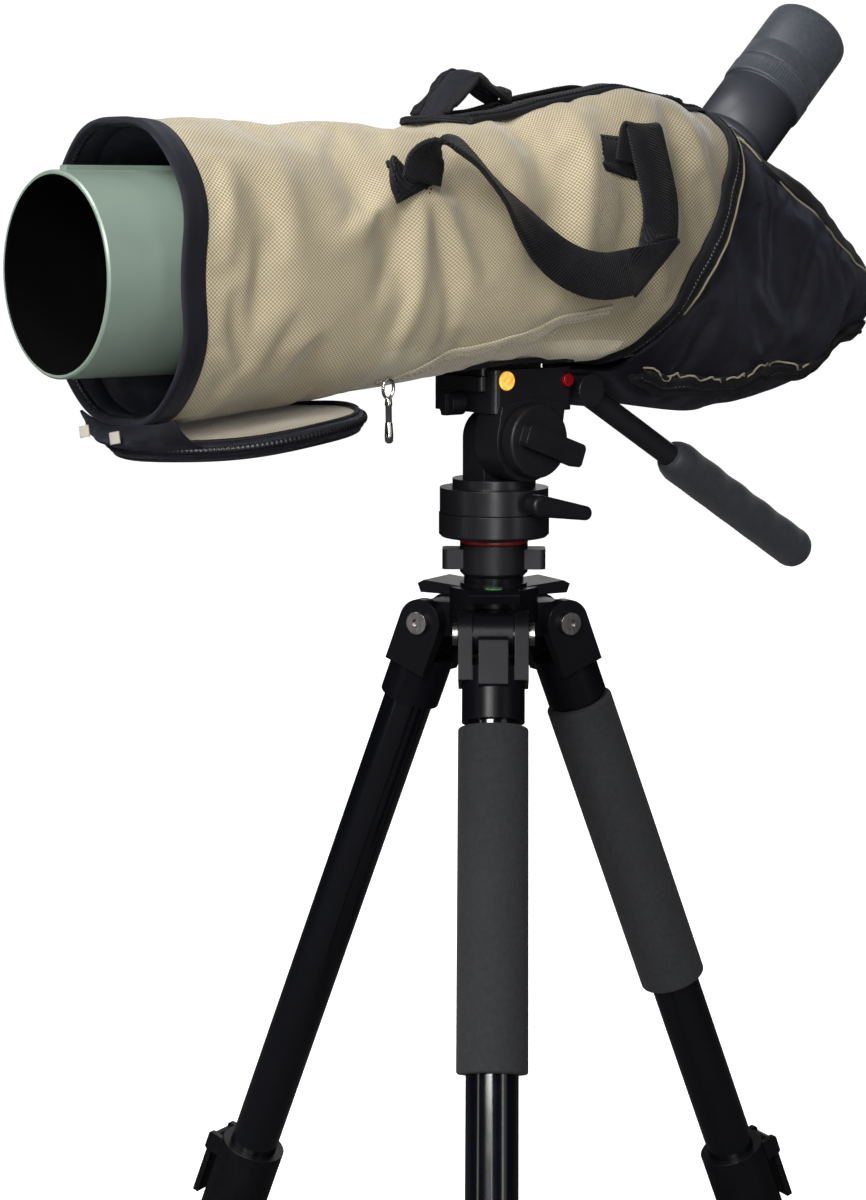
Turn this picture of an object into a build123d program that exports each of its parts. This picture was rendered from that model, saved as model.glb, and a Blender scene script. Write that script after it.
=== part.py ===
from build123d import *
import os
from math import asin, cos, radians, sin

# Angled spotting scope in an open soft case, on a two-way head and a folding tripod.
# Millimetres, +Z up. The origin is on the floor, on the tripod's axis. The optical axis runs along Y,
# OPTIC_HEIGHT above the floor: the objective faces -Y and the eyepiece rises towards +Y.
# Heights of the scope, the case, the head and the spider are measured from the optical axis.
OPTIC_HEIGHT = 624.0
FIT = 0.05  # gap between pieces that are fixed together
RUN = 0.3  # gap between pieces that slide or turn

# Objective tube
TUBE_FRONT, BARREL_END, NECK_START, TUBE_REAR = -224.0, -130.0, -100.0, 30.0
BARREL_R, TUBE_R, TUBE_WALL = 47.3, 39.0, 3.0
LENS_SEAT, LENS_LIP = -204.0, 3.0
SHIELD_FRONT, SHIELD_REAR = -276.0, -181.0
SHIELD_R, SHIELD_BORE = 50.5, BARREL_R + RUN
FOCUS_LENS_Y = -60.0

# Prism housing and focus knobs
HOUSING_HALF_WIDTH, HOUSING_TOP, HOUSING_BOTTOM, HOUSING_WALL = 35.0, 74.0, -42.0, 4.0
KNOB_Z, COARSE_R, FINE_R = 62.0, 13.0, 10.0

# Eyepiece: distances run along its axis from where it meets the optical axis
EYE_START_Y, EYE_TILT = 107.0, 45.0
PORT_START, PORT_END, PORT_R = 55.0, 77.0, 25.0
NECK_R, SLEEVE_R, EYE_BORE = 19.0, 17.8, 14.2
LOCK_RING_END, ZOOM_START, ZOOM_GRIP, ZOOM_END, EYECUP_END = 88.7, 92.0, 133.0, 146.0, 189.0
ZOOM_R, ZOOM_BAND_R, EYECUP_R = 24.4, 25.5, 25.0

# Mount collar and its foot
COLLAR_HALF, COLLAR_R = 15.0, 46.0
FOOT_HALF_WIDTH, FOOT_HALF_LENGTH, FOOT_Z = 16.0, 22.0, -58.2

# Soft case: each section is its place along Y, half width, top, bottom and how round its corners are
CASE_WALL = 2.5
CASE_SECTIONS = [
    (-230, 62, 75, -74, 0.9),
    (-150, 61, 73, -66, 0.9),
    (-66, 60, 75, -56, 0.85),
    (0, 61, 84, -51, 0.75),
    (68, 64, 97, -51, 0.7),
    (120, 63, 87, -56, 0.7),
    (166, 58, 69, -62, 0.75),
]
HOOD_SECTIONS = [
    (62, 61, 90, -57, 0.7),
    (90, 61, 91, -73, 0.7),
    (140, 58, 76, -80, 0.7),
    (200, 50, 50, -70, 0.7),
    (250, 36, 10, -52, 0.7),
    (292, 16, -14, -36, 0.7),
]
REAR_SEAM = [(36, -85), (113, 14), (142, 94), (159, 141)]
COVER_R, COVER_THICKNESS, COVER_SLOPE = 66.0, 10.0, 6.0
COVER_HINGE_Y, COVER_MID_Z = -240.0, -80.0

# Head
TILT_Z, DRUM_R, PILLAR_R = -93.0, 22.5, 15.0
PLATE_HALF_WIDTH, PLATE_HALF_LENGTH, PLATE_BOTTOM = 20.0, 26.0, -66.0
PLATFORM_HALF_WIDTH, PLATFORM_FRONT, PLATFORM_REAR = 27.0, -22.0, 34.0
PLATFORM_TOP, PLATFORM_BOTTOM = -54.5, -78.0
CHEEK_INNER, CHEEK_OUTER = 10.0, 30.0
HANDLE_Y, HANDLE_Z, HANDLE_X, HANDLE_SLOPE = 46.0, -68.0, 20.0, 31.0
ROD_R, GRIP_R, GRIP_START, GRIP_END = 6.5, 12.0, 78.0, 205.0
PAN_R, PAN_TOP, PAN_SPLIT, PAN_BOTTOM = 30.0, -120.6, -134.5, -147.8
PAN_LOCK_Z = -128.0

# Centre column and spider
COLUMN_R, COLUMN_WALL, COLUMN_BOTTOM = 12.5, 1.5, -395.0
LOCK_TOP, LOCK_BOTTOM, LOCK_R = -151.7, -169.6, 18.8
SPIDER_TOP, SPIDER_BOTTOM, SPIDER_R = -173.5, -214.0, 22.0
PIVOT_RADIUS, PIVOT_Z, LUG_HALF, LUG_R = 37.0, -197.0, 11.0, 11.5

# Legs: distances run down each leg from its pivot
LEG_ANGLE = 21.3
LEG_AZIMUTHS = {"front": -39.5, "right": 80.5, "left": 200.5}
FOAM_LEGS = ("front", "right")
CHEEK_HALF, SOCKET_START, SOCKET_END, SOCKET_R = 19.0, 20.0, 49.0, 17.0
LEG_R, LEG_WALL, LEG_END = 14.0, 1.5, 384.0
FOAM_START, FOAM_END, FOAM_R = 52.0, 236.0, 19.0
CLAMP_START, CLAMP_END, CLAMP_R = 356.0, 404.0, 19.0
LEVER_PIVOT, LEVER_END, LEVER_HALF = 364.0, 402.0, 8.0
LOWER_R, LOWER_START, LOWER_END = 12.2, 60.0, 438.0
RUBBER_START, RUBBER_R = 424.0, 16.0

OPTIC_AXIS = Axis((0, 0, OPTIC_HEIGHT), (0, 1, 0))
EYE_DIRECTION = Vector(0, cos(radians(EYE_TILT)), sin(radians(EYE_TILT)))
EYE_ORIGIN = Vector(0, EYE_START_Y, OPTIC_HEIGHT)
EYE_AXIS = Axis(EYE_ORIGIN, EYE_DIRECTION)
EYE_SIDE = Plane(origin=EYE_ORIGIN, x_dir=EYE_DIRECTION, z_dir=(1, 0, 0))


def side(x=0):
    """The upright plane at X = x. Its local x is Y, its local y is height from the optical axis."""
    return Plane(origin=(x, 0, OPTIC_HEIGHT), x_dir=(0, 1, 0), z_dir=(1, 0, 0))


def across(y=0):
    """The upright plane at Y = y. Its local x is X, its local y is height from the optical axis."""
    return Plane(origin=(0, y, OPTIC_HEIGHT), x_dir=(1, 0, 0), z_dir=(0, -1, 0))


def level(z):
    """The flat plane at a height from the optical axis."""
    return Plane.XY.offset(OPTIC_HEIGHT + z)


def eye_section(distance):
    """The plane across the eyepiece's axis at a distance along it."""
    return Plane(origin=EYE_ORIGIN + EYE_DIRECTION * distance, x_dir=(1, 0, 0), z_dir=EYE_DIRECTION)


def outline(plane, *points):
    """A flat face on plane, bounded by straight lines through points."""
    with BuildSketch(plane) as face:
        with BuildLine():
            Polyline(*points, close=True)
        make_face()
    return face.sketch


def disc(plane, radius, centre=(0, 0)):
    """A round face on plane."""
    with BuildSketch(plane) as face:
        with Locations(centre):
            Circle(radius)
    return face.sketch


def block(plane, width, height, centre=(0, 0), corner=0.0):
    """A rectangular face on plane, with rounded corners where corner isn't 0."""
    with BuildSketch(plane) as face:
        with Locations(centre):
            if corner:
                RectangleRounded(width, height, corner)
            else:
                Rectangle(width, height)
    return face.sketch


def dome(edge, bulge, radius):
    """The round end of a lens profile, from its tip on the axis to its rim.
    A bulge stands out towards -x, and a negative one is hollow."""
    curve = (radius**2 + bulge**2) / (2 * abs(bulge))
    way = 1 if bulge > 0 else -1
    half_turn = asin(radius / curve) / 2
    tip = edge - bulge
    halfway = (tip + way * curve * (1 - cos(half_turn)), curve * sin(half_turn))
    return ThreePointArc((tip, 0), halfway, (edge, radius))


def lens(plane, axis, start, end, radius, front_bulge, back_bulge):
    """A round lens between start and end along axis.
    A bulge is how far its face stands out at the centre."""
    with BuildPart() as glass:
        with BuildSketch(plane):
            with BuildLine():
                dome(start, front_bulge, radius)
                Line((start, radius), (end, radius))
                dome(end, -back_bulge, radius)
                Line((end + back_bulge, 0), (start - front_bulge, 0))
            make_face()
        revolve(axis=axis)
    return glass.part


def soft_body(sections, inset):
    """A soft body lofted through its cross sections, each drawn in by inset."""
    with BuildPart() as body:
        for y, half_width, top, bottom, roundness in sections:
            half_height = (top - bottom) / 2
            corner = roundness * min(half_width, half_height) - inset
            with BuildSketch(across(y)):
                with Locations((0, (top + bottom) / 2)):
                    RectangleRounded(2 * (half_width - inset), 2 * (half_height - inset), corner)
        loft()
    return body.part


pieces = {}

# ---------------------------------------------------------------- scope
bore_r = BARREL_R - TUBE_WALL
with BuildPart() as main_tube:
    revolve(
        outline(
            side(),
            (TUBE_FRONT, bore_r - LENS_LIP),
            (TUBE_FRONT, BARREL_R),
            (BARREL_END, BARREL_R),
            (NECK_START, TUBE_R),
            (TUBE_REAR, TUBE_R),
            (TUBE_REAR, TUBE_R - TUBE_WALL),
            (NECK_START, TUBE_R - TUBE_WALL),
            (BARREL_END, bore_r),
            (LENS_SEAT + LENS_LIP, bore_r),
            (LENS_SEAT + LENS_LIP, bore_r - LENS_LIP),
            (LENS_SEAT, bore_r - LENS_LIP),
            (LENS_SEAT, bore_r),
            (TUBE_FRONT + LENS_LIP, bore_r),
            (TUBE_FRONT + LENS_LIP, bore_r - LENS_LIP),
        ),
        axis=OPTIC_AXIS,
    )
pieces["main_tube"] = main_tube

lens_room = 0.5
crown_start = TUBE_FRONT + LENS_LIP + lens_room
crown_end = TUBE_FRONT + LENS_LIP + 6
flint_end = LENS_SEAT - RUN
with BuildPart() as objective_lens:
    add(lens(side(), OPTIC_AXIS, crown_start, crown_end, bore_r - FIT, 2.5, 2.5))
    add(lens(side(), OPTIC_AXIS, crown_end + FIT, flint_end, bore_r - FIT, -2.5, 0.8))
pieces["objective_lens"] = objective_lens

ridge_half, ridge_height = 3.0, 2.2
with BuildPart() as dew_shield:
    revolve(
        outline(
            side(),
            (SHIELD_FRONT, SHIELD_BORE + 0.8),
            (SHIELD_FRONT, SHIELD_R - 0.8),
            (SHIELD_FRONT + 1, SHIELD_R),
            (SHIELD_REAR, SHIELD_R),
            (SHIELD_REAR, SHIELD_BORE),
            (SHIELD_FRONT + 1, SHIELD_BORE),
        ),
        axis=OPTIC_AXIS,
    )
    ridge = block(across(SHIELD_REAR), 2 * ridge_half, ridge_height + 1, (0, SHIELD_R + ridge_height / 2 - 0.5))
    extrude(ridge, amount=SHIELD_REAR - SHIELD_FRONT - 6)
pieces["dew_shield"] = dew_shield

with BuildPart() as focus_lens:
    add(lens(side(), OPTIC_AXIS, FOCUS_LENS_Y, FOCUS_LENS_Y + 9, TUBE_R - TUBE_WALL - RUN, -2, -2))
pieces["focus_lens"] = focus_lens

shaft_r, sleeve_r = 3.0, 6.0
housing_profile = [
    (TUBE_REAR, HOUSING_BOTTOM),
    (TUBE_REAR, HOUSING_TOP),
    (128, HOUSING_TOP),
    (160, 42),
    (150, -10),
    (112, HOUSING_BOTTOM),
]
cavity_profile = [
    (TUBE_REAR + HOUSING_WALL, HOUSING_BOTTOM + HOUSING_WALL),
    (TUBE_REAR + HOUSING_WALL, HOUSING_TOP - HOUSING_WALL),
    (126, HOUSING_TOP - HOUSING_WALL),
    (155, 41),
    (146, -8),
    (110, HOUSING_BOTTOM + HOUSING_WALL),
]
with BuildPart() as prism_housing:
    extrude(outline(side(), *housing_profile), amount=HOUSING_HALF_WIDTH, both=True)
    fillet(prism_housing.edges().filter_by(Axis.X, reverse=True).group_by(Axis.X)[-1], 8)
    fillet(prism_housing.edges().filter_by(Axis.X, reverse=True).group_by(Axis.X)[0], 8)
    extrude(disc(eye_section(PORT_START), PORT_R), amount=PORT_END - PORT_START)
    cavity = outline(side(), *cavity_profile)
    extrude(cavity, amount=HOUSING_HALF_WIDTH - HOUSING_WALL, both=True, mode=Mode.SUBTRACT)
    extrude(disc(across(TUBE_REAR), TUBE_R - TUBE_WALL - 2), amount=-10, mode=Mode.SUBTRACT)
    extrude(disc(across(TUBE_REAR), sleeve_r + RUN, (0, KNOB_Z)), amount=-10, mode=Mode.SUBTRACT)
    extrude(disc(eye_section(PORT_START), NECK_R + FIT), amount=60, mode=Mode.SUBTRACT)
pieces["prism_housing"] = prism_housing

with BuildPart() as prism:
    glass_block = outline(side(), (52, -32), (52, 32), (92, 46), (122, 16), (108, -32))
    extrude(glass_block, amount=28, both=True)
pieces["prism"] = prism

with BuildPart() as coarse_focus_knob:
    extrude(disc(across(26), COARSE_R, (0, KNOB_Z)), amount=15)
    extrude(disc(across(36), sleeve_r, (0, KNOB_Z)), amount=10)
    extrude(disc(across(36), shaft_r + RUN, (0, KNOB_Z)), amount=30, mode=Mode.SUBTRACT)
pieces["coarse_focus_knob"] = coarse_focus_knob

with BuildPart() as fine_focus_knob:
    extrude(disc(across(10.5), FINE_R, (0, KNOB_Z)), amount=15)
    extrude(disc(across(40), shaft_r, (0, KNOB_Z)), amount=30)
pieces["fine_focus_knob"] = fine_focus_knob

# ---------------------------------------------------------------- eyepiece
eye_seat, sleeve_end = 170.0, 180.0
with BuildPart() as eyepiece_barrel:
    revolve(
        outline(
            EYE_SIDE,
            (PORT_START, EYE_BORE),
            (PORT_START, NECK_R),
            (LOCK_RING_END + RUN, NECK_R),
            (LOCK_RING_END + RUN, ZOOM_R),
            (ZOOM_START - RUN, ZOOM_R),
            (ZOOM_START - RUN, SLEEVE_R),
            (sleeve_end, SLEEVE_R),
            (sleeve_end, EYE_BORE + 1.4),
            (eye_seat, EYE_BORE + 1.4),
            (eye_seat, EYE_BORE),
        ),
        axis=EYE_AXIS,
    )
pieces["eyepiece_barrel"] = eyepiece_barrel

with BuildPart() as eyepiece_lock_ring:
    extrude(disc(eye_section(PORT_END + RUN), ZOOM_R), amount=LOCK_RING_END - PORT_END - RUN)
    extrude(disc(eye_section(PORT_END), NECK_R + RUN), amount=LOCK_RING_END, mode=Mode.SUBTRACT)
pieces["eyepiece_lock_ring"] = eyepiece_lock_ring

with BuildPart() as zoom_ring:
    revolve(
        outline(
            EYE_SIDE,
            (ZOOM_START, SLEEVE_R + RUN),
            (ZOOM_START, ZOOM_R - 0.8),
            (ZOOM_START + 1.5, ZOOM_R),
            (ZOOM_GRIP, ZOOM_R),
            (ZOOM_GRIP + 1, ZOOM_BAND_R),
            (ZOOM_END, ZOOM_BAND_R),
            (ZOOM_END, SLEEVE_R + RUN),
        ),
        axis=EYE_AXIS,
    )
pieces["zoom_ring"] = zoom_ring

with BuildPart() as zoom_lens:
    add(lens(EYE_SIDE, EYE_AXIS, 128, 134, EYE_BORE - RUN, 1.2, 1.2))
pieces["zoom_lens"] = zoom_lens

with BuildPart() as eye_lens:
    add(lens(EYE_SIDE, EYE_AXIS, eye_seat + FIT, 176, EYE_BORE + 1.4 - FIT, -1, 1.2))
pieces["eye_lens"] = eye_lens

with BuildPart() as eyecup:
    revolve(
        outline(
            EYE_SIDE,
            (ZOOM_END + RUN, SLEEVE_R + RUN),
            (ZOOM_END + RUN, EYECUP_R),
            (EYECUP_END - 1.2, EYECUP_R),
            (EYECUP_END, EYECUP_R - 1.2),
            (EYECUP_END, SLEEVE_R),
            (EYECUP_END - 2, SLEEVE_R - 1),
            (EYECUP_END - 5, SLEEVE_R + RUN),
        ),
        axis=EYE_AXIS,
    )
pieces["eyecup"] = eyecup

# ---------------------------------------------------------------- collar, plate and screw
screw_r, stud_r = 3.1, 3.0
with BuildPart() as mount_collar:
    extrude(disc(across(COLLAR_HALF), COLLAR_R), amount=2 * COLLAR_HALF)
    foot_depth = -FOOT_Z - TUBE_R
    foot = block(level(FOOT_Z), 2 * FOOT_HALF_WIDTH, 2 * FOOT_HALF_LENGTH, corner=4)
    extrude(foot, amount=foot_depth)
    extrude(disc(across(30), TUBE_R + RUN), amount=60, mode=Mode.SUBTRACT)
    extrude(disc(level(FOOT_Z), screw_r + FIT), amount=12, mode=Mode.SUBTRACT)
    extrude(disc(side(-TUBE_R), stud_r + RUN), amount=-10, mode=Mode.SUBTRACT)
pieces["mount_collar"] = mount_collar

with BuildPart() as collar_lock_knob:
    extrude(disc(side(-TUBE_R - 1), stud_r), amount=-8)
    extrude(disc(side(-TUBE_R - 8), 8), amount=-9)
    chamfer(collar_lock_knob.edges().group_by(Axis.X)[0], 1)
pieces["collar_lock_knob"] = collar_lock_knob

plate_top = FOOT_Z - FIT
with BuildPart() as quick_release_plate:
    plate_face = block(level(PLATE_BOTTOM), 2 * PLATE_HALF_WIDTH, 2 * PLATE_HALF_LENGTH, corner=3)
    extrude(plate_face, amount=plate_top - PLATE_BOTTOM)
    extrude(disc(level(PLATE_BOTTOM), 7 + RUN), amount=4, mode=Mode.SUBTRACT)
    extrude(disc(level(PLATE_BOTTOM), screw_r + FIT), amount=10, mode=Mode.SUBTRACT)
pieces["quick_release_plate"] = quick_release_plate

with BuildPart() as plate_screw:
    extrude(disc(level(PLATE_BOTTOM + 0.2), 7), amount=3.7)
    extrude(disc(level(PLATE_BOTTOM + 0.2), screw_r), amount=17)
    extrude(block(level(PLATE_BOTTOM), 10, 1.6), amount=1.6, mode=Mode.SUBTRACT)
pieces["plate_screw"] = plate_screw

# ---------------------------------------------------------------- soft case
cut_reach = 400.0
seam_gap = 0.6
seam_bottom, seam_top = REAR_SEAM[0][1], REAR_SEAM[-1][1]
behind_case = [*REAR_SEAM, (cut_reach, seam_top), (cut_reach, seam_bottom)]
hood_seam = [(y + seam_gap, z) for y, z in REAR_SEAM]
ahead_of_hood = [*hood_seam, (-cut_reach, seam_top), (-cut_reach, seam_bottom)]
foot_slot_half_width, foot_slot_half_length, foot_slot_corner = 23.0, 30.0, 8.0
top_slot_width, top_slot_length, top_slot_y, top_slot_corner = 28.0, 150.0, 35.0, 13.0
with BuildPart() as case_shell:
    add(soft_body(CASE_SECTIONS, 0))
    add(soft_body(CASE_SECTIONS, CASE_WALL), mode=Mode.SUBTRACT)
    extrude(outline(side(), *behind_case), amount=cut_reach, both=True, mode=Mode.SUBTRACT)
    extrude(disc(eye_section(PORT_START - 20), PORT_R + 3), amount=150, mode=Mode.SUBTRACT)
    foot_slot = block(level(-90), 2 * foot_slot_half_width, 2 * foot_slot_half_length, corner=foot_slot_corner)
    extrude(foot_slot, amount=60, mode=Mode.SUBTRACT)
    top_slot = block(level(60), top_slot_width, top_slot_length, (0, top_slot_y), top_slot_corner)
    extrude(top_slot, amount=60, mode=Mode.SUBTRACT)
pieces["case_shell"] = case_shell

hood_rim = [(142, 92), (158, 56), (296, -20), (cut_reach, -20), (cut_reach, cut_reach), (0, cut_reach)]
with BuildPart() as case_rear_hood:
    add(soft_body(HOOD_SECTIONS, 0))
    add(soft_body(HOOD_SECTIONS[:-1], CASE_WALL), mode=Mode.SUBTRACT)
    extrude(outline(side(), *ahead_of_hood), amount=cut_reach, both=True, mode=Mode.SUBTRACT)
    extrude(outline(side(), *hood_rim), amount=cut_reach, both=True, mode=Mode.SUBTRACT)
    extrude(disc(eye_section(PORT_START - 20), PORT_R + 2), amount=200, mode=Mode.SUBTRACT)
pieces["case_rear_hood"] = case_rear_hood

mouth_y, mouth_half_width, mouth_top, mouth_bottom, mouth_roundness = CASE_SECTIONS[0]
mouth_mid = (mouth_top + mouth_bottom) / 2
binding_width, binding_proud, binding_depth = 5.0, 1.5, 3.0
mouth_corner = mouth_roundness * mouth_half_width
with BuildPart() as case_zippers:
    for grow, mode in ((binding_proud, Mode.ADD), (-binding_depth, Mode.SUBTRACT)):
        ring_width = 2 * (mouth_half_width + grow)
        ring_height = mouth_top - mouth_bottom + 2 * grow
        ring_face = block(across(mouth_y - FIT), ring_width, ring_height, (0, mouth_mid), mouth_corner + grow)
        extrude(ring_face, amount=binding_width, mode=mode)
    web_front, web_back = COVER_HINGE_Y - 0.5, mouth_y - binding_width
    web_face = block(level(mouth_bottom - 1.5), 70, web_back - web_front, (0, (web_back + web_front) / 2))
    extrude(web_face, amount=2)
pieces["case_zippers"] = case_zippers

cover_centre_y = COVER_HINGE_Y + 3 + COVER_R
slope = radians(COVER_SLOPE)
cover_plane = Plane(
    origin=(0, cover_centre_y, OPTIC_HEIGHT + COVER_MID_Z),
    x_dir=(1, 0, 0),
    z_dir=(0, -sin(slope), cos(slope)),
)
with BuildPart() as case_front_cover:
    extrude(disc(cover_plane, COVER_R), amount=COVER_THICKNESS / 2, both=True)
    fillet(case_front_cover.edges(), 3)
pieces["case_front_cover"] = case_front_cover

flap_x = -18.0
with BuildPart() as case_focus_flap:
    flap_face = outline(side(flap_x), (-30, 83), (22, 92), (20, 104), (-8, 106), (-26, 92))
    extrude(flap_face, amount=-CASE_WALL)
pieces["case_focus_flap"] = case_focus_flap

strap_centre, strap_outer, strap_inner, strap_x = (-18, 60), 76.0, 52.0, 66.5
with BuildPart() as carry_strap:
    with BuildSketch(side(strap_x)):
        with Locations(strap_centre):
            Circle(strap_outer)
            Circle(strap_inner, mode=Mode.SUBTRACT)
        with Locations((strap_centre[0], strap_centre[1] + strap_outer)):
            Rectangle(2 * strap_outer, 2 * strap_outer, mode=Mode.SUBTRACT)
    extrude(amount=CASE_WALL)
pieces["carry_strap"] = carry_strap

pull_x, pull_y, pull_top, pull_length, pull_half = 40.0, -104.0, -55.0, 33.0, 3.5
with BuildPart() as zip_pull:
    pull_face = block(side(pull_x), 2 * pull_half, pull_length, (pull_y, pull_top - pull_length / 2), 2)
    extrude(pull_face, amount=1.5)
    extrude(disc(side(pull_x), 1.8, (pull_y, pull_top - 5)), amount=2, mode=Mode.SUBTRACT)
pieces["zip_pull"] = zip_pull

# ---------------------------------------------------------------- head
platform_length = PLATFORM_REAR - PLATFORM_FRONT
platform_mid = (PLATFORM_REAR + PLATFORM_FRONT) / 2
pin_r, axle_r, level_r, button_r = 3.5, 5.0, 5.2, 3.7
level_y, level_z, button_y, button_z = -13.7, -60.4, 29.0, -61.5
lug_inner, lug_outer = 5.0, 11.0
front_knob_z, button_depth, pocket_depth = -73.2, 4.5, 1.5
with BuildPart() as tilt_platform:
    bed = block(level(PLATFORM_BOTTOM), 2 * PLATFORM_HALF_WIDTH, platform_length, (0, platform_mid), 4)
    extrude(bed, amount=PLATFORM_TOP - PLATFORM_BOTTOM)
    with BuildSketch(side(CHEEK_INNER)):
        with Locations((0, TILT_Z)):
            Circle(DRUM_R)
        with Locations((3, PLATFORM_BOTTOM + 2)):
            Rectangle(44, 4)
        make_hull()
    extrude(amount=CHEEK_OUTER - CHEEK_INNER)
    with BuildSketch(side(lug_inner)):
        with Locations((HANDLE_Y, HANDLE_Z)):
            Circle(7)
        with Locations((PLATFORM_REAR - 1, HANDLE_Z)):
            Rectangle(2, 14)
        make_hull()
    extrude(amount=lug_outer - lug_inner)
    groove = block(level(PLATE_BOTTOM - 0.2), 2 * (PLATE_HALF_WIDTH + RUN), 100)
    extrude(groove, amount=20, mode=Mode.SUBTRACT)
    extrude(disc(side(), axle_r + RUN, (0, TILT_Z)), amount=40, mode=Mode.SUBTRACT)
    extrude(disc(side(), pin_r + RUN, (HANDLE_Y, HANDLE_Z)), amount=20, mode=Mode.SUBTRACT)
    rail = side(PLATFORM_HALF_WIDTH)
    extrude(disc(rail, level_r + FIT, (level_y, level_z)), amount=-pocket_depth, mode=Mode.SUBTRACT)
    extrude(disc(rail, button_r + RUN, (button_y, button_z)), amount=-button_depth, mode=Mode.SUBTRACT)
    extrude(disc(across(PLATFORM_FRONT), stud_r + RUN, (0, front_knob_z)), amount=-12, mode=Mode.SUBTRACT)
pieces["tilt_platform"] = tilt_platform

with BuildPart() as head_level:
    extrude(disc(side(PLATFORM_HALF_WIDTH - pocket_depth + FIT), level_r, (level_y, level_z)), amount=2.6)
    fillet(head_level.edges().group_by(Axis.X)[-1], 0.8)
pieces["head_level"] = head_level

with BuildPart() as safety_button:
    button_face = disc(side(PLATFORM_HALF_WIDTH + 2.2), button_r, (button_y, button_z))
    extrude(button_face, amount=-4)
    fillet(safety_button.edges().group_by(Axis.X)[-1], 0.8)
pieces["safety_button"] = safety_button

with BuildPart() as plate_lock_knob:
    extrude(disc(across(PLATFORM_FRONT - 2), 6.5, (0, front_knob_z)), amount=10)
    extrude(disc(across(PLATFORM_FRONT + 11), stud_r, (0, front_knob_z)), amount=14)
    wing = block(across(PLATFORM_FRONT - 7), 4, 12.6, (0, front_knob_z), 1.5)
    extrude(wing, amount=7)
pieces["plate_lock_knob"] = plate_lock_knob

pillar_left, pillar_right = -9.0, CHEEK_INNER - RUN
turret_top = -115.6
with BuildPart() as pan_body:
    extrude(disc(level(PAN_SPLIT + RUN), PAN_R), amount=PAN_TOP - PAN_SPLIT - RUN)
    extrude(disc(level(PAN_TOP), SPIDER_R + 1), amount=turret_top - PAN_TOP)
    with BuildSketch(side(pillar_left)):
        with Locations((0, TILT_Z)):
            Circle(PILLAR_R)
        foot_height = TILT_Z - turret_top
        with Locations((0, TILT_Z - foot_height / 2)):
            Rectangle(2 * PILLAR_R, foot_height)
    extrude(amount=pillar_right - pillar_left)
    extrude(disc(side(pillar_left - 3), 9, (0, TILT_Z)), amount=3)
    extrude(disc(side(pillar_left), axle_r + RUN, (0, TILT_Z)), amount=40, mode=Mode.SUBTRACT)
    extrude(disc(side(12), stud_r + RUN, (0, PAN_LOCK_Z)), amount=30, mode=Mode.SUBTRACT)
pieces["pan_body"] = pan_body

tilt_knob_r, tilt_knob_depth, wing_tip = 20.0, 8.0, 28.0
knob_start = CHEEK_OUTER + 1
with BuildPart() as tilt_lock_knob:
    extrude(disc(side(pillar_left + 1), axle_r, (0, TILT_Z)), amount=knob_start - pillar_left)
    extrude(disc(side(knob_start), tilt_knob_r, (0, TILT_Z)), amount=tilt_knob_depth)
    fillet(tilt_lock_knob.edges().group_by(Axis.X)[-1], 1.5)
    bar_plane = Plane(
        origin=(knob_start + tilt_knob_depth - 1, 0, OPTIC_HEIGHT + TILT_Z),
        x_dir=(0, cos(radians(20)), -sin(radians(20))),
        z_dir=(1, 0, 0),
    )
    wing_bar = block(bar_plane, wing_tip + 14, 13, ((wing_tip - 14) / 2, 0), 3)
    extrude(wing_bar, amount=7)
pieces["tilt_lock_knob"] = tilt_lock_knob

lever_x, lever_tip = PAN_R + 3, 36.0
with BuildPart() as pan_lock_lever:
    extrude(disc(side(14), stud_r, (0, PAN_LOCK_Z)), amount=lever_x - 14)
    with BuildSketch(side(lever_x)):
        with Locations((0, PAN_LOCK_Z)):
            Circle(6)
        with Locations((lever_tip - 4, PAN_LOCK_Z - 6)):
            Circle(4)
        make_hull()
    extrude(amount=9)
    fillet(pan_lock_lever.edges().group_by(Axis.X)[-1], 2)
pieces["pan_lock_lever"] = pan_lock_lever

with BuildPart() as pan_base:
    extrude(disc(level(PAN_BOTTOM), PAN_R + 0.5), amount=PAN_SPLIT - PAN_BOTTOM)
    chamfer(pan_base.edges().group_by(Axis.Z)[0], 1.5)
pieces["pan_base"] = pan_base

handle_direction = Vector(0, cos(radians(HANDLE_SLOPE)), -sin(radians(HANDLE_SLOPE)))
handle_origin = Vector(HANDLE_X, HANDLE_Y, OPTIC_HEIGHT + HANDLE_Z)
handle_axis = Axis(handle_origin, handle_direction)
handle_side = Plane(origin=handle_origin, x_dir=handle_direction, z_dir=(1, 0, 0))
handle_start = Plane(origin=handle_origin, x_dir=(1, 0, 0), z_dir=handle_direction)
knuckle_left = lug_outer + RUN
with BuildPart() as handle_rod:
    extrude(disc(side(knuckle_left), 9, (HANDLE_Y, HANDLE_Z)), amount=2 * (HANDLE_X - knuckle_left))
    extrude(disc(side(lug_inner - 1), pin_r, (HANDLE_Y, HANDLE_Z)), amount=10)
    extrude(disc(handle_start, ROD_R), amount=GRIP_END - 20)
pieces["handle_rod"] = handle_rod

with BuildPart() as handle_grip:
    revolve(
        outline(
            handle_side,
            (GRIP_START, ROD_R + FIT),
            (GRIP_START, GRIP_R - 2.5),
            (GRIP_START + 8, GRIP_R),
            (GRIP_END - 8, GRIP_R),
            (GRIP_END - 2, GRIP_R - 3),
            (GRIP_END, GRIP_R - 7),
            (GRIP_END, 0),
            (GRIP_END - 20 + FIT, 0),
            (GRIP_END - 20 + FIT, ROD_R + FIT),
        ),
        axis=handle_axis,
    )
pieces["handle_grip"] = handle_grip

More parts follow.
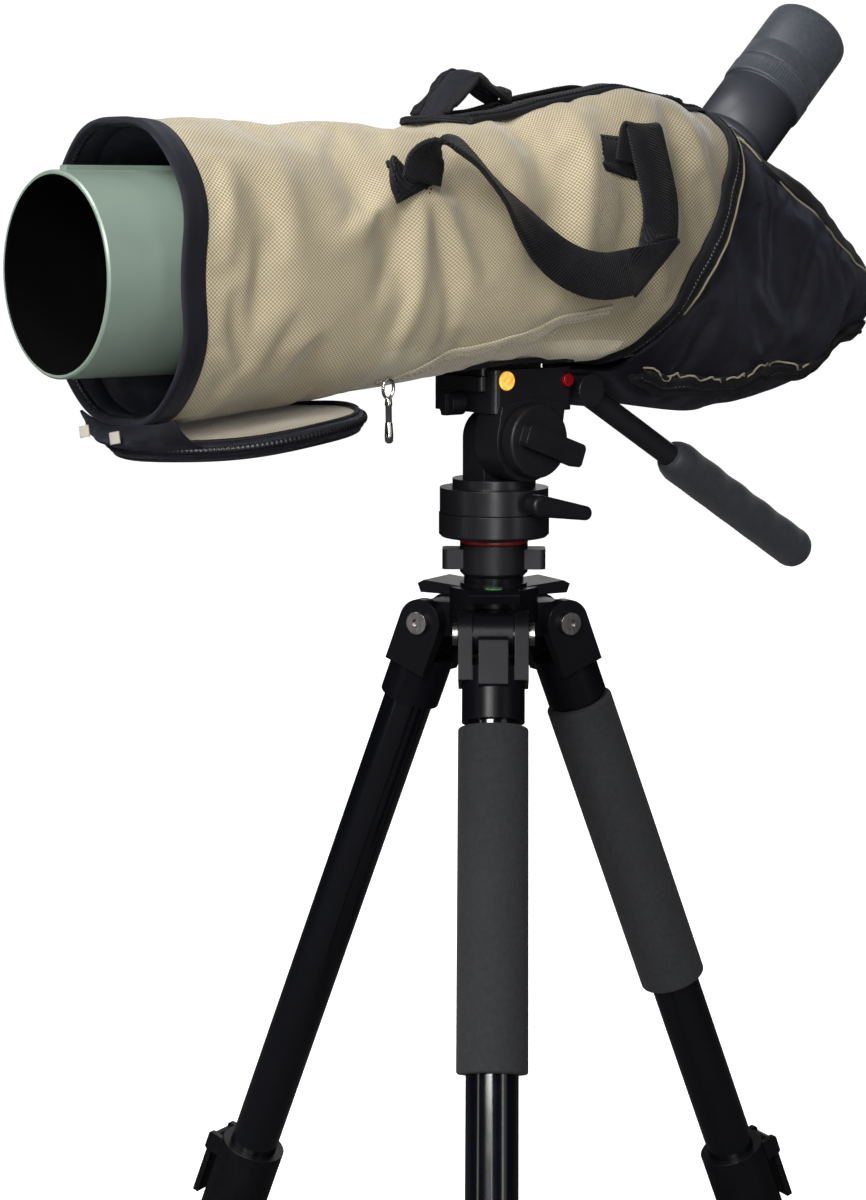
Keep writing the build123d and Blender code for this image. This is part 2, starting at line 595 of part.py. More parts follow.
# ---------------------------------------------------------------- column and spider
collar_neck = 16.5
with BuildPart() as center_column:
    extrude(disc(level(COLUMN_BOTTOM), COLUMN_R), amount=PAN_BOTTOM - COLUMN_BOTTOM)
    extrude(disc(level(COLUMN_BOTTOM), COLUMN_R + 2), amount=5)
    extrude(disc(level(LOCK_TOP + 0.5), collar_neck), amount=PAN_BOTTOM - LOCK_TOP - 0.5)
    bore_length = PAN_BOTTOM - COLUMN_BOTTOM - 4
    extrude(disc(level(COLUMN_BOTTOM), COLUMN_R - COLUMN_WALL), amount=bore_length, mode=Mode.SUBTRACT)
pieces["center_column"] = center_column

lobe_reach, lobe_azimuth = 28.5, 50.5
with BuildPart() as column_lock_collar:
    extrude(disc(level(LOCK_BOTTOM), LOCK_R), amount=LOCK_TOP - LOCK_BOTTOM)
    chamfer(column_lock_collar.edges().group_by(Axis.Z)[0], 2)
    lobe_plane = Plane(
        origin=(0, 0, OPTIC_HEIGHT + LOCK_BOTTOM + 4),
        x_dir=(cos(radians(lobe_azimuth)), sin(radians(lobe_azimuth)), 0),
        z_dir=(0, 0, 1),
    )
    extrude(block(lobe_plane, 2 * lobe_reach, 17, corner=3), amount=11)
    extrude(disc(level(LOCK_BOTTOM), COLUMN_R + RUN), amount=30, mode=Mode.SUBTRACT)
pieces["column_lock_collar"] = column_lock_collar


def around(azimuth, distance, z):
    """The point at an azimuth and a distance from the tripod's axis, z from the optical axis."""
    turn = radians(azimuth)
    return Vector(distance * cos(turn), distance * sin(turn), OPTIC_HEIGHT + z)


def tangent_plane(azimuth, shift):
    """The upright plane through the tripod's axis towards azimuth, moved sideways by shift.
    Its local x is the distance from the axis, its local y is height from the leg pivots."""
    turn = radians(azimuth)
    sideways = Vector(sin(turn), -cos(turn), 0)
    return Plane(
        origin=Vector(0, 0, OPTIC_HEIGHT + PIVOT_Z) + sideways * shift,
        x_dir=(cos(turn), sin(turn), 0),
        z_dir=sideways,
    )


arm_reach, arm_top, arm_depth = 41.0, SPIDER_TOP - PIVOT_Z, 7.0
bolt_r, bolt_head_r, bolt_head = 4.0, 6.3, 3.0
vial_r, vial_azimuth, vial_reach = 5.0, -39.5, 22.5
vial_centre = around(vial_azimuth, vial_reach, 0)
with BuildPart() as spider:
    extrude(disc(level(SPIDER_BOTTOM), SPIDER_R - 3.5), amount=SPIDER_TOP - SPIDER_BOTTOM)
    extrude(disc(level(SPIDER_TOP - 22), SPIDER_R + 2.5), amount=20)
    extrude(disc(level(SPIDER_TOP), collar_neck), amount=LOCK_BOTTOM - SPIDER_TOP - RUN)
    for azimuth in LEG_AZIMUTHS.values():
        lug = tangent_plane(azimuth, -LUG_HALF)
        with BuildSketch(lug):
            with Locations((PIVOT_RADIUS, 0)):
                Circle(LUG_R)
            with Locations((PIVOT_RADIUS / 2, 2)):
                Rectangle(PIVOT_RADIUS, 2 * LUG_R - 4)
        extrude(amount=2 * LUG_HALF)
        crown = outline(
            tangent_plane(azimuth, -LUG_HALF - 3),
            (10, arm_top - 2),
            (arm_reach - 4, arm_top),
            (arm_reach, arm_top - 2),
            (arm_reach - 2, arm_top - arm_depth),
            (10, arm_top - arm_depth),
        )
        extrude(crown, amount=2 * (LUG_HALF + 3))
        hole = disc(tangent_plane(azimuth, -60), bolt_r + FIT, (PIVOT_RADIUS, 0))
        extrude(hole, amount=120, mode=Mode.SUBTRACT)
    extrude(disc(level(SPIDER_BOTTOM - 5), COLUMN_R + RUN), amount=60, mode=Mode.SUBTRACT)
    vial_seat = disc(level(SPIDER_TOP - 4), vial_r + FIT, (vial_centre.X, vial_centre.Y))
    extrude(vial_seat, amount=10, mode=Mode.SUBTRACT)
pieces["spider"] = spider

with BuildPart() as spider_level:
    extrude(disc(level(SPIDER_TOP - 4 + FIT), vial_r, (vial_centre.X, vial_centre.Y)), amount=3.6)
pieces["spider_level"] = spider_level

with BuildPart() as leg_bolts:
    for azimuth in LEG_AZIMUTHS.values():
        shank = disc(tangent_plane(azimuth, -CHEEK_HALF - RUN), bolt_r, (PIVOT_RADIUS, 0))
        extrude(shank, amount=2 * (CHEEK_HALF + RUN))
        for end in (-CHEEK_HALF - RUN - bolt_head, CHEEK_HALF + RUN):
            head = disc(tangent_plane(azimuth, end), bolt_head_r, (PIVOT_RADIUS, 0))
            extrude(head, amount=bolt_head)
            socket_face = end if end < 0 else end + bolt_head - 1.5
            socket = disc(tangent_plane(azimuth, socket_face), 2.4, (PIVOT_RADIUS, 0))
            extrude(socket, amount=1.5, mode=Mode.SUBTRACT)
pieces["leg_bolts"] = leg_bolts


# ---------------------------------------------------------------- legs
class LegFrame:
    """Planes of one leg. Distances run down the leg from its pivot."""

    def __init__(self, azimuth):
        turn, lean = radians(azimuth), radians(LEG_ANGLE)
        self.pivot = around(azimuth, PIVOT_RADIUS, PIVOT_Z)
        self.down = Vector(sin(lean) * cos(turn), sin(lean) * sin(turn), -cos(lean))
        self.outward = Vector(cos(lean) * cos(turn), cos(lean) * sin(turn), sin(lean))
        self.sideways = Vector(sin(turn), -cos(turn), 0)
        self.axis = Axis(self.pivot, self.down)

    def section(self, distance):
        """The plane across the leg. Its local x points outward."""
        return Plane(origin=self.pivot + self.down * distance, x_dir=self.outward, z_dir=self.down)

    def profile(self, shift=0.0):
        """The plane along the leg, moved sideways. Its local x runs down the leg, its local y outward."""
        return Plane(origin=self.pivot + self.sideways * shift, x_dir=self.down, z_dir=self.sideways)

    def ring(self, start, end, outer, inner):
        """The half profile of a straight tube."""
        return outline(self.profile(), (start, inner), (start, outer), (end, outer), (end, inner))


cheek_gap, tab_start, tab_end = LUG_HALF + RUN, 6.0, 32.0
ear_inner, ear_outer = LEVER_HALF + RUN, LEVER_HALF + 3.5
lever_out = CLAMP_R + 4.5
for leg_name, azimuth in LEG_AZIMUTHS.items():
    leg = LegFrame(azimuth)

    with BuildPart() as leg_casting:
        for shift in (-CHEEK_HALF, cheek_gap):
            with BuildSketch(leg.profile(shift)):
                Circle(13)
                with Locations((SOCKET_START / 2 + 4, 0)):
                    Rectangle(SOCKET_START + 8, 26)
            extrude(amount=CHEEK_HALF - cheek_gap)
        revolve(leg.ring(SOCKET_START, SOCKET_END, SOCKET_R, 0), axis=leg.axis)
        tab_middle = (tab_start + tab_end) / 2
        tab_face = block(leg.profile(-8), tab_end - tab_start, 8, (tab_middle, 14.5), 1.5)
        extrude(tab_face, amount=16)
        clear_r = LUG_R + 1.5
        extrude(disc(leg.profile(-cheek_gap), clear_r), amount=2 * cheek_gap, mode=Mode.SUBTRACT)
        extrude(disc(leg.profile(-60), bolt_r + RUN), amount=120, mode=Mode.SUBTRACT)
        tube_seat = leg.ring(SOCKET_START + 3, SOCKET_END + 1, LEG_R + FIT, 0)
        revolve(tube_seat, axis=leg.axis, mode=Mode.SUBTRACT)
    pieces[f"{leg_name}_leg_casting"] = leg_casting

    with BuildPart() as leg_tube:
        revolve(leg.ring(SOCKET_START + 3 + FIT, LEG_END, LEG_R, LEG_R - LEG_WALL), axis=leg.axis)
    pieces[f"{leg_name}_leg_tube"] = leg_tube

    if leg_name in FOAM_LEGS:
        with BuildPart() as leg_foam:
            revolve(leg.ring(FOAM_START, FOAM_END, FOAM_R, LEG_R + FIT), axis=leg.axis)
            fillet(leg_foam.edges().filter_by(GeomType.CIRCLE).sort_by(SortBy.RADIUS)[-2:], 1.5)
        pieces[f"{leg_name}_leg_foam"] = leg_foam

    with BuildPart() as leg_clamp:
        revolve(leg.ring(CLAMP_START, CLAMP_END, CLAMP_R, LOWER_R + RUN), axis=leg.axis)
        revolve(leg.ring(CLAMP_START, LEG_END, LEG_R + FIT, 0), axis=leg.axis, mode=Mode.SUBTRACT)
        for shift in (-ear_outer, ear_inner):
            ear_width = ear_outer - ear_inner
            ear = block(leg.profile(shift), 12, 11.5, (LEVER_PIVOT, CLAMP_R + 0.5), 2)
            extrude(ear, amount=ear_width)
    pieces[f"{leg_name}_leg_clamp"] = leg_clamp

    with BuildPart() as lock_lever:
        extrude(disc(leg.profile(-LEVER_HALF), 3.5, (LEVER_PIVOT, lever_out - 0.7)), amount=2 * LEVER_HALF)
        paddle_length = LEVER_END - LEVER_PIVOT
        paddle_middle = LEVER_PIVOT + paddle_length / 2
        paddle = block(leg.profile(-LEVER_HALF), paddle_length, 3.6, (paddle_middle, lever_out))
        extrude(paddle, amount=2 * LEVER_HALF)
    pieces[f"{leg_name}_lock_lever"] = lock_lever

    with BuildPart() as lower_tube:
        revolve(leg.ring(LOWER_START, LOWER_END, LOWER_R, LOWER_R - LEG_WALL), axis=leg.axis)
    pieces[f"{leg_name}_lower_tube"] = lower_tube

    with BuildPart() as rubber_foot:
        revolve(
            outline(
                leg.profile(),
                (RUBBER_START, LOWER_R + FIT),
                (RUBBER_START, RUBBER_R - 2.5),
                (RUBBER_START + 3, RUBBER_R - 1),
                (OPTIC_HEIGHT, RUBBER_R + 8),
                (OPTIC_HEIGHT, 0),
                (LOWER_END + FIT, 0),
                (LOWER_END + FIT, LOWER_R + FIT),
            ),
            axis=leg.axis,
        )
        split(bisect_by=Plane.XY, keep=Keep.TOP)
    pieces[f"{leg_name}_rubber_foot"] = rubber_foot

os.makedirs("parts", exist_ok=True)
for label, piece in pieces.items():
    piece.part.label = label
    export_step(piece.part, f"parts/{label}.step")
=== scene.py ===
import math

import bmesh
import bpy
import numpy as np
from mathutils import Matrix, Vector, noise
from mathutils.bvhtree import BVHTree


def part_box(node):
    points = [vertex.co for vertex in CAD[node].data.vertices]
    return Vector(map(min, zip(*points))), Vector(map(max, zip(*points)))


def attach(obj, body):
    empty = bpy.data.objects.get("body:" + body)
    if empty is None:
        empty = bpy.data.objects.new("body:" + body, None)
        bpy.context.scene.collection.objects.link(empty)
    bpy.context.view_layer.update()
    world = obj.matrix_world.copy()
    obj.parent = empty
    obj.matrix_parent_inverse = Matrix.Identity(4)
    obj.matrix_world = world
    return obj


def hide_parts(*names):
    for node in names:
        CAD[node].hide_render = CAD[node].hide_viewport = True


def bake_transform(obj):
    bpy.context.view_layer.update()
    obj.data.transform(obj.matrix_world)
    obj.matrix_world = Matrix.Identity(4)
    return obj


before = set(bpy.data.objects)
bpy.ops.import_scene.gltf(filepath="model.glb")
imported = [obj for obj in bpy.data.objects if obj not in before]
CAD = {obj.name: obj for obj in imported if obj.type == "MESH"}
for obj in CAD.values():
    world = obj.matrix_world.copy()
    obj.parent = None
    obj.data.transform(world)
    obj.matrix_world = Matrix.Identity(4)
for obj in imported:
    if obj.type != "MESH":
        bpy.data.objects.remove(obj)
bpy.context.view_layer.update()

# Everything is in metres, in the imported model's frame. Heights named *_z are measured from the optical axis.
MM = 0.001
tube_low, tube_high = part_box("main_tube")
AXIS_Z = (tube_low.z + tube_high.z) / 2


def at(x, y, z):
    """A point given in millimetres, its height measured from the optical axis."""
    return Vector((x * MM, y * MM, AXIS_Z + z * MM))


# ------------------------------------------------------------------ shader helpers
class Shader:
    """A node material under construction: each method adds a node and returns its output socket."""

    def __init__(self, name):
        self.material = bpy.data.materials.new(name)
        self.material.use_nodes = True
        self.tree = self.material.node_tree
        self.tree.nodes.clear()
        self.surface = self.tree.nodes.new("ShaderNodeBsdfPrincipled")
        output = self.tree.nodes.new("ShaderNodeOutputMaterial")
        self.tree.links.new(self.surface.outputs[0], output.inputs[0])
        coordinates = self.tree.nodes.new("ShaderNodeTexCoord")
        self.place = coordinates.outputs["Object"]
        self.uv = coordinates.outputs["UV"]

    def put(self, socket, value):
        if isinstance(value, bpy.types.NodeSocket):
            self.tree.links.new(value, socket)
        elif isinstance(value, (tuple, list)) and len(value) == 3 and socket.type == "RGBA":
            socket.default_value = (*value, 1.0)
        else:
            socket.default_value = value

    def add(self, kind, inputs=(), output=0, **settings):
        node = self.tree.nodes.new(kind)
        for key, value in settings.items():
            setattr(node, key, value)
        for key, value in dict(inputs).items():
            self.put(node.inputs[key], value)
        return node.outputs[output]

    def math(self, operation, a, b=0.0, clamp=False):
        return self.add("ShaderNodeMath", {0: a, 1: b}, operation=operation, use_clamp=clamp)

    def noise(self, scale, detail=3.0, roughness=0.55, vector=None):
        inputs = {"Vector": vector or self.place, "Scale": scale, "Detail": detail, "Roughness": roughness}
        return self.add("ShaderNodeTexNoise", inputs)

    def stretch(self, scale, vector=None):
        inputs = {"Vector": vector or self.place, "Scale": scale}
        return self.add("ShaderNodeMapping", inputs)

    def span(self, value, low, high, to_low=0.0, to_high=1.0):
        inputs = {"Value": value, "From Min": low, "From Max": high, "To Min": to_low, "To Max": to_high}
        return self.add("ShaderNodeMapRange", inputs)

    def mix(self, share, a, b):
        node = self.tree.nodes.new("ShaderNodeMix")
        node.data_type = "RGBA"
        self.put(node.inputs["Factor"], share)
        self.put(node.inputs["A"], a)
        self.put(node.inputs["B"], b)
        return node.outputs["Result"]

    def bump(self, height, depth, normal=None):
        inputs = {"Height": height, "Strength": 1.0, "Distance": depth}
        if normal is not None:
            inputs["Normal"] = normal
        return self.add("ShaderNodeBump", inputs)

    def soft_edges(self, radius):
        return self.add("ShaderNodeBevel", {"Radius": radius}, samples=4)

    def edge_wear(self, radius):
        """1 along sharp edges and 0 on open faces."""
        rounded = self.soft_edges(radius)
        true_normal = self.add("ShaderNodeNewGeometry", output="Normal")
        agreement = self.add("ShaderNodeVectorMath", {0: rounded, 1: true_normal}, output="Value", operation="DOT_PRODUCT")
        return self.span(agreement, 0.985, 0.86)

    def finish(self, **inputs):
        for key, value in inputs.items():
            self.put(self.surface.inputs[key.replace("_", " ")], value)
        return self.material


def shade(color, amount):
    return tuple(c * amount for c in color)


def painted(
    name, color, roughness=0.36, grain=0.00002, wear=0.25, coat=0.25, metallic=0.0, edge=0.0007, specular=0.5,
):
    """Paint over metal: slight mottling, orange peel, and lighter, rubbed edges."""
    s = Shader(name)
    mottle = s.span(s.noise(22, 4), 0.3, 0.7, 0.92, 1.08)
    base = s.add("ShaderNodeHueSaturation", {"Color": color, "Value": mottle})
    scuffs = s.span(s.noise(180, 6, 0.7), 0.42, 0.62)
    rubbed = s.math("MULTIPLY", s.edge_wear(edge), s.math("MULTIPLY", scuffs, wear))
    lighter = tuple(min(1.0, 0.05 + c * 1.5) for c in color)
    peel = s.bump(s.noise(1400, 2), grain, s.soft_edges(edge))
    rough = s.span(s.noise(60, 5), 0.3, 0.7, 0.92 * roughness, 1.1 * roughness)
    return s.finish(
        Base_Color=s.mix(rubbed, base, lighter), Roughness=rough, Normal=peel, Coat_Weight=coat,
        Coat_Roughness=0.22, Metallic=metallic, Specular_IOR_Level=specular,
    )


def moulded(name, color, roughness=0.5, grain=0.00005, scale=1800, edge=0.0006, wear=0.2, specular=0.45):
    """Injection moulded plastic with a fine spark-eroded grain."""
    s = Shader(name)
    tone = s.span(s.noise(35, 4), 0.3, 0.7, 0.85, 1.15)
    base = s.add("ShaderNodeHueSaturation", {"Color": color, "Value": tone})
    cells = s.add("ShaderNodeTexVoronoi", {"Vector": s.place, "Scale": scale})
    rubbed = s.math("MULTIPLY", s.edge_wear(edge), s.span(s.noise(140, 5), 0.4, 0.7, 0.0, wear))
    lighter = tuple(min(1.0, 0.05 + c * 1.8) for c in color)
    rough = s.span(s.noise(90, 4), 0.3, 0.7, roughness - 0.06, roughness + 0.08)
    return s.finish(
        Base_Color=s.mix(rubbed, base, lighter), Roughness=rough, Normal=s.bump(cells, grain, s.soft_edges(edge)),
        Specular_IOR_Level=specular,
    )


def rubbery(name, color, roughness=0.72, grain=0.00008, scale=1100, sheen=0.15, dust=0.12):
    """Soft black rubber or foam: matt, dusty in patches, with closed cells."""
    s = Shader(name)
    cells = s.add("ShaderNodeTexVoronoi", {"Vector": s.place, "Scale": scale}, feature="SMOOTH_F1")
    dusty = s.span(s.noise(28, 6, 0.65), 0.45, 0.75, 0.0, dust)
    tone = s.span(s.noise(400, 3), 0.3, 0.7, 0.82, 1.18)
    base = s.add("ShaderNodeHueSaturation", {"Color": color, "Value": tone})
    pale = tuple(min(1.0, 0.05 + c * 1.5) for c in color)
    return s.finish(
        Base_Color=s.mix(dusty, base, pale), Roughness=roughness, Normal=s.bump(cells, grain, s.soft_edges(0.0008)),
        Sheen_Weight=sheen, Sheen_Roughness=0.5, Specular_IOR_Level=0.35,
    )


def anodised(name, color, roughness=0.24, along=(1, 1, 1), metallic=0.0, edge=0.0005, coat=0.7):
    """Anodised tube: faint draw lines, a clear top layer and bright edges."""
    s = Shader(name)
    lines = s.noise(1, 4, 0.6, s.stretch(along))
    tone = s.span(lines, 0.3, 0.7, 0.9, 1.12)
    base = s.add("ShaderNodeHueSaturation", {"Color": color, "Value": tone})
    rough = s.span(s.noise(70, 5), 0.3, 0.7, 0.85 * roughness, 1.2 * roughness)
    rubbed = s.math("MULTIPLY", s.edge_wear(edge), 0.25)
    lighter = tuple(min(1.0, 0.12 + c * 1.5) for c in color)
    normal = s.bump(lines, 0.000006, s.soft_edges(edge))
    return s.finish(
        Base_Color=s.mix(rubbed, base, lighter), Roughness=rough, Metallic=metallic, Normal=normal,
        Coat_Weight=coat, Coat_Roughness=0.12,
    )


def bare_metal(name, color, roughness=0.25, scale=900):
    """Plated or polished metal with fine scratches."""
    s = Shader(name)
    scratches = s.noise(scale, 6, 0.7, s.stretch((1, 1, 0.08)))
    rough = s.span(scratches, 0.3, 0.7, roughness - 0.08, roughness + 0.1)
    base = s.mix(s.span(s.noise(60, 5), 0.4, 0.7), color, shade(color, 0.7))
    normal = s.bump(scratches, 0.000008, s.soft_edges(0.0004))
    return s.finish(Base_Color=base, Roughness=rough, Metallic=1.0, Normal=normal)


def level_vial(name, color, edge_color, glow):
    """A liquid-filled level, darker towards its rim by the viewing angle, with a painted glow that stands in for light
    from its bright backing.
    """
    s = Shader(name)
    rim = s.add("ShaderNodeLayerWeight", {"Blend": 0.3}, output="Facing")
    cloud = s.span(s.noise(420, 3), 0.35, 0.7)
    body = s.mix(cloud, color, edge_color)
    tint = s.mix(rim, body, edge_color)
    # Painted glow: the tint is also emitted, so the vial shines though it is no lamp.
    return s.finish(Base_Color=tint, Roughness=0.08, Coat_Weight=1.0, Emission_Color=tint, Emission_Strength=glow)


def clear_glass(name, color, roughness=0.03, coat=(0.4, 0.25, 0.6)):
    """Coated optical glass, tinted by its coating at grazing angles."""
    s = Shader(name)
    edge = s.add("ShaderNodeLayerWeight", {"Blend": 0.45}, output="Facing")
    smear = s.span(s.noise(45, 5), 0.45, 0.75, roughness, roughness + 0.06)
    return s.finish(
        Base_Color=s.mix(edge, color, coat), Roughness=smear, Transmission_Weight=0.9, IOR=1.5,
        Coat_Weight=0.6, Coat_Tint=coat,
    )


def woven(name, dark, light, pitch=1.0 * MM, depth=0.00022, roughness=0.82, contrast=1.0, sheen=0.35, lining=None, painted_shade_span=None):
    """Basket-woven nylon read from UVs in metres. The lining argument is not used."""
    s = Shader(name)
    parts = s.tree.nodes.new("ShaderNodeSeparateXYZ")
    s.tree.links.new(s.uv, parts.inputs[0])
    wobble = s.math("MULTIPLY", s.noise(160, 2), 0.5)
    turns = 2 * math.pi / (2 * pitch)
    across = s.math("SINE", s.math("ADD", s.math("MULTIPLY", parts.outputs[0], turns), wobble))
    along = s.math("SINE", s.math("ADD", s.math("MULTIPLY", parts.outputs[1], turns), wobble))
    checker = s.math("MULTIPLY", across, along)
    yarn = s.span(checker, -0.75, 0.75)
    fuzz = s.noise(2600, 2)
    height = s.math("ADD", yarn, s.math("MULTIPLY", fuzz, 0.25))
    patch = s.span(s.noise(16, 5, 0.6), 0.3, 0.7, 0.9, 1.1)
    yarn_tone = s.span(yarn, 0.0, 1.0, 0.5 - 0.5 * contrast, 0.5 + 0.5 * contrast)
    color = s.mix(yarn_tone, dark, light)
    worn_tone_and_painted_shade = s.add("ShaderNodeHueSaturation", {"Color": color, "Value": patch})
    # Painted shade: from the span's start to its end along Y, the colour darkens to 0.42 of itself, with noise. This
    # stands in for the shadow towards the rear seam.
    if painted_shade_span is not None:
        place = s.tree.nodes.new("ShaderNodeSeparateXYZ")
        s.tree.links.new(s.place, place.inputs[0])
        painted_shade_depth = s.math("ADD", place.outputs[1], s.math("MULTIPLY", s.noise(24, 3), 0.05))
        worn_tone_and_painted_shade = s.add("ShaderNodeHueSaturation", {"Color": worn_tone_and_painted_shade, "Value": s.span(painted_shade_depth, *painted_shade_span, 1.0, 0.42)})
    return s.finish(
        Base_Color=worn_tone_and_painted_shade, Roughness=roughness, Normal=s.bump(height, depth), Sheen_Weight=sheen,
        Sheen_Roughness=0.4, Specular_IOR_Level=0.25,
    )


def webbing(name, color, pitch=1.6 * MM, depth=0.0003, roughness=0.62, specular=0.25):
    """Ribbed tape: the ribs run across it, and UV v runs along it, in metres."""
    s = Shader(name)
    parts = s.tree.nodes.new("ShaderNodeSeparateXYZ")
    s.tree.links.new(s.uv, parts.inputs[0])
    turns = 2 * math.pi / pitch
    slant = s.math("ADD", s.math("MULTIPLY", parts.outputs[1], turns), s.math("MULTIPLY", parts.outputs[0], turns * 0.5))
    ribs = s.math("SINE", slant)
    yarns = s.math("SINE", s.math("MULTIPLY", parts.outputs[0], turns * 1.4))
    height = s.math("ADD", s.span(ribs, -1, 1), s.math("MULTIPLY", yarns, 0.2))
    tone = s.span(ribs, -1, 1, 0.55, 1.35)
    base = s.add("ShaderNodeHueSaturation", {"Color": color, "Value": tone})
    dusty = s.mix(s.span(s.noise(50, 5), 0.5, 0.8, 0.0, 0.25), base, tuple(0.02 + c for c in color))
    return s.finish(
        Base_Color=dusty, Roughness=roughness, Normal=s.bump(height, depth), Sheen_Weight=0.05, Sheen_Roughness=0.35,
        Specular_IOR_Level=specular,
    )


def lining_cloth(name, color, roughness=0.45, pitch=0.5 * MM):
    """Smooth black lining nylon with a slight lustre."""
    s = Shader(name)
    parts = s.tree.nodes.new("ShaderNodeSeparateXYZ")
    s.tree.links.new(s.uv, parts.inputs[0])
    turns = 2 * math.pi / pitch
    threads = s.math(
        "MULTIPLY",
        s.math("SINE", s.math("MULTIPLY", parts.outputs[0], turns)),
        s.math("SINE", s.math("MULTIPLY", parts.outputs[1], turns)),
    )
    crumple = s.noise(38, 5, 0.55)
    height = s.math("ADD", s.math("MULTIPLY", threads, 0.06), s.math("MULTIPLY", crumple, 1.0))
    tone = s.span(s.noise(12, 4), 0.3, 0.7, 0.75, 1.3)
    base = s.add("ShaderNodeHueSaturation", {"Color": color, "Value": tone})
    rough = s.span(crumple, 0.3, 0.7, roughness - 0.05, roughness + 0.12)
    return s.finish(
        Base_Color=base, Roughness=rough, Normal=s.bump(height, 0.0012), Sheen_Weight=0.12, Sheen_Roughness=0.3,
        Sheen_Tint=(0.6, 0.62, 0.8), Specular_IOR_Level=0.26,
    )


def backdrop_paint(name, color, glow):
    s = Shader(name)
    tone = s.span(s.noise(0.6, 1), 0.3, 0.7, 0.995, 1.005)
    pale = s.add("ShaderNodeHueSaturation", {"Color": color, "Value": tone})
    seen = s.add("ShaderNodeLightPath", output="Is Camera Ray")
    mirrored = s.add("ShaderNodeLightPath", output="Is Glossy Ray")
    bounced = s.mix(mirrored, shade(color, 0.42), shade(color, 0.05))
    base = s.mix(seen, bounced, pale)
    return s.finish(
        Base_Color=base, Roughness=0.85, Specular_IOR_Level=0.1, Emission_Color=(1, 1, 1),
        Emission_Strength=s.math("MULTIPLY", seen, glow),
    )


SAGE = painted("sage_paint", (0.200, 0.262, 0.215), 0.38, metallic=0.15, wear=0.12)
INNER_BLACK = moulded("flocked_black", (0.0012, 0.0012, 0.0014), 0.9, scale=2500, wear=0.0, specular=0.04)
GLASS = clear_glass("optical_glass", (0.8, 0.9, 0.86))
# Both levels glow as painted light; the last argument is their emission strength.
LEVEL_AMBER = level_vial("amber_level", (1.0, 0.66, 0.14), (0.85, 0.34, 0.03), 0.6)
LEVEL_GREEN = level_vial("green_level", (0.10, 0.42, 0.10), (0.03, 0.16, 0.04), 0.1)
EYEPIECE_BLACK = painted("eyepiece_black", (0.024, 0.026, 0.033), 0.46, wear=0.1, coat=0.0, specular=0.45)
EYECUP_RUBBER = rubbery("eyecup_rubber", (0.032, 0.037, 0.046), 0.5, dust=0.04)
RING_SILVER = bare_metal("bright_ring", (0.75, 0.75, 0.74), 0.2)
HEAD_BLACK = painted("head_black", (0.007, 0.007, 0.009), 0.34, wear=0.2, coat=0.0, specular=0.45)
HANDLE_BLACK = painted("handle_black", (0.009, 0.009, 0.011), 0.3, wear=0.2)
KNOB_BLACK = moulded("knob_plastic", (0.006, 0.006, 0.008), 0.4, specular=0.35)
KNOB_RUBBER = rubbery("knob_rubber", (0.011, 0.011, 0.012))
GRIP_RUBBER = rubbery("grip_rubber", (0.016, 0.017, 0.022), 0.6, scale=1500, dust=0.04)
CAST_BLACK = painted("cast_black", (0.0035, 0.0035, 0.005), 0.3, wear=0.2, coat=0.0, specular=0.14)
LEG_BLACK = anodised("leg_black", (0.002, 0.0022, 0.0035), 0.13, along=(300, 300, 4), coat=0.5)
CLAMP_BLACK = moulded("clamp_plastic", (0.003, 0.003, 0.004), 0.34, specular=0.3)
FOAM_GREY = rubbery("foam_grey", (0.015, 0.0155, 0.0175), 0.9, grain=0.00018, scale=1300, sheen=0.04, dust=0.05)
FOOT_RUBBER = rubbery("foot_rubber", (0.012, 0.012, 0.013), 0.8)
STEEL = bare_metal("steel", (0.36, 0.35, 0.34), 0.28)
CHROME = bare_metal("plated", (0.82, 0.80, 0.76), 0.16)
RED_GLOSS = moulded("red_plastic", (0.20, 0.001, 0.005), 0.25, scale=600)
RED_RING = painted("red_ring", (0.16, 0.002, 0.006), 0.35)
# The tan cloth darkens towards the rear as painted shade.
TAN_WEAVE = woven(
    "tan_weave", (0.18, 0.148, 0.090), (0.54, 0.465, 0.320), contrast=0.88, painted_shade_span=(0.01, 0.16),
)
TAN_HEM = woven("tan_hem", (0.22, 0.19, 0.13), (0.56, 0.50, 0.37), contrast=0.7)
BLACK_LINING = lining_cloth("black_lining", (0.0055, 0.0055, 0.0095))
BLACK_TAPE = webbing("black_tape", (0.005, 0.005, 0.007), pitch=1.0 * MM, depth=0.00015)
BLACK_WEBBING = webbing("black_webbing", (0.004, 0.004, 0.0055), depth=0.0004)
ZIP_TEETH = moulded("zip_teeth", (0.007, 0.007, 0.009), 0.3)
LABEL_CLOTH = woven("label_cloth", (0.42, 0.38, 0.31), (0.55, 0.50, 0.42), pitch=0.5 * MM, contrast=0.5)
THREAD_TAN = woven("thread_tan", (0.20, 0.165, 0.10), (0.34, 0.29, 0.19), pitch=0.3 * MM)

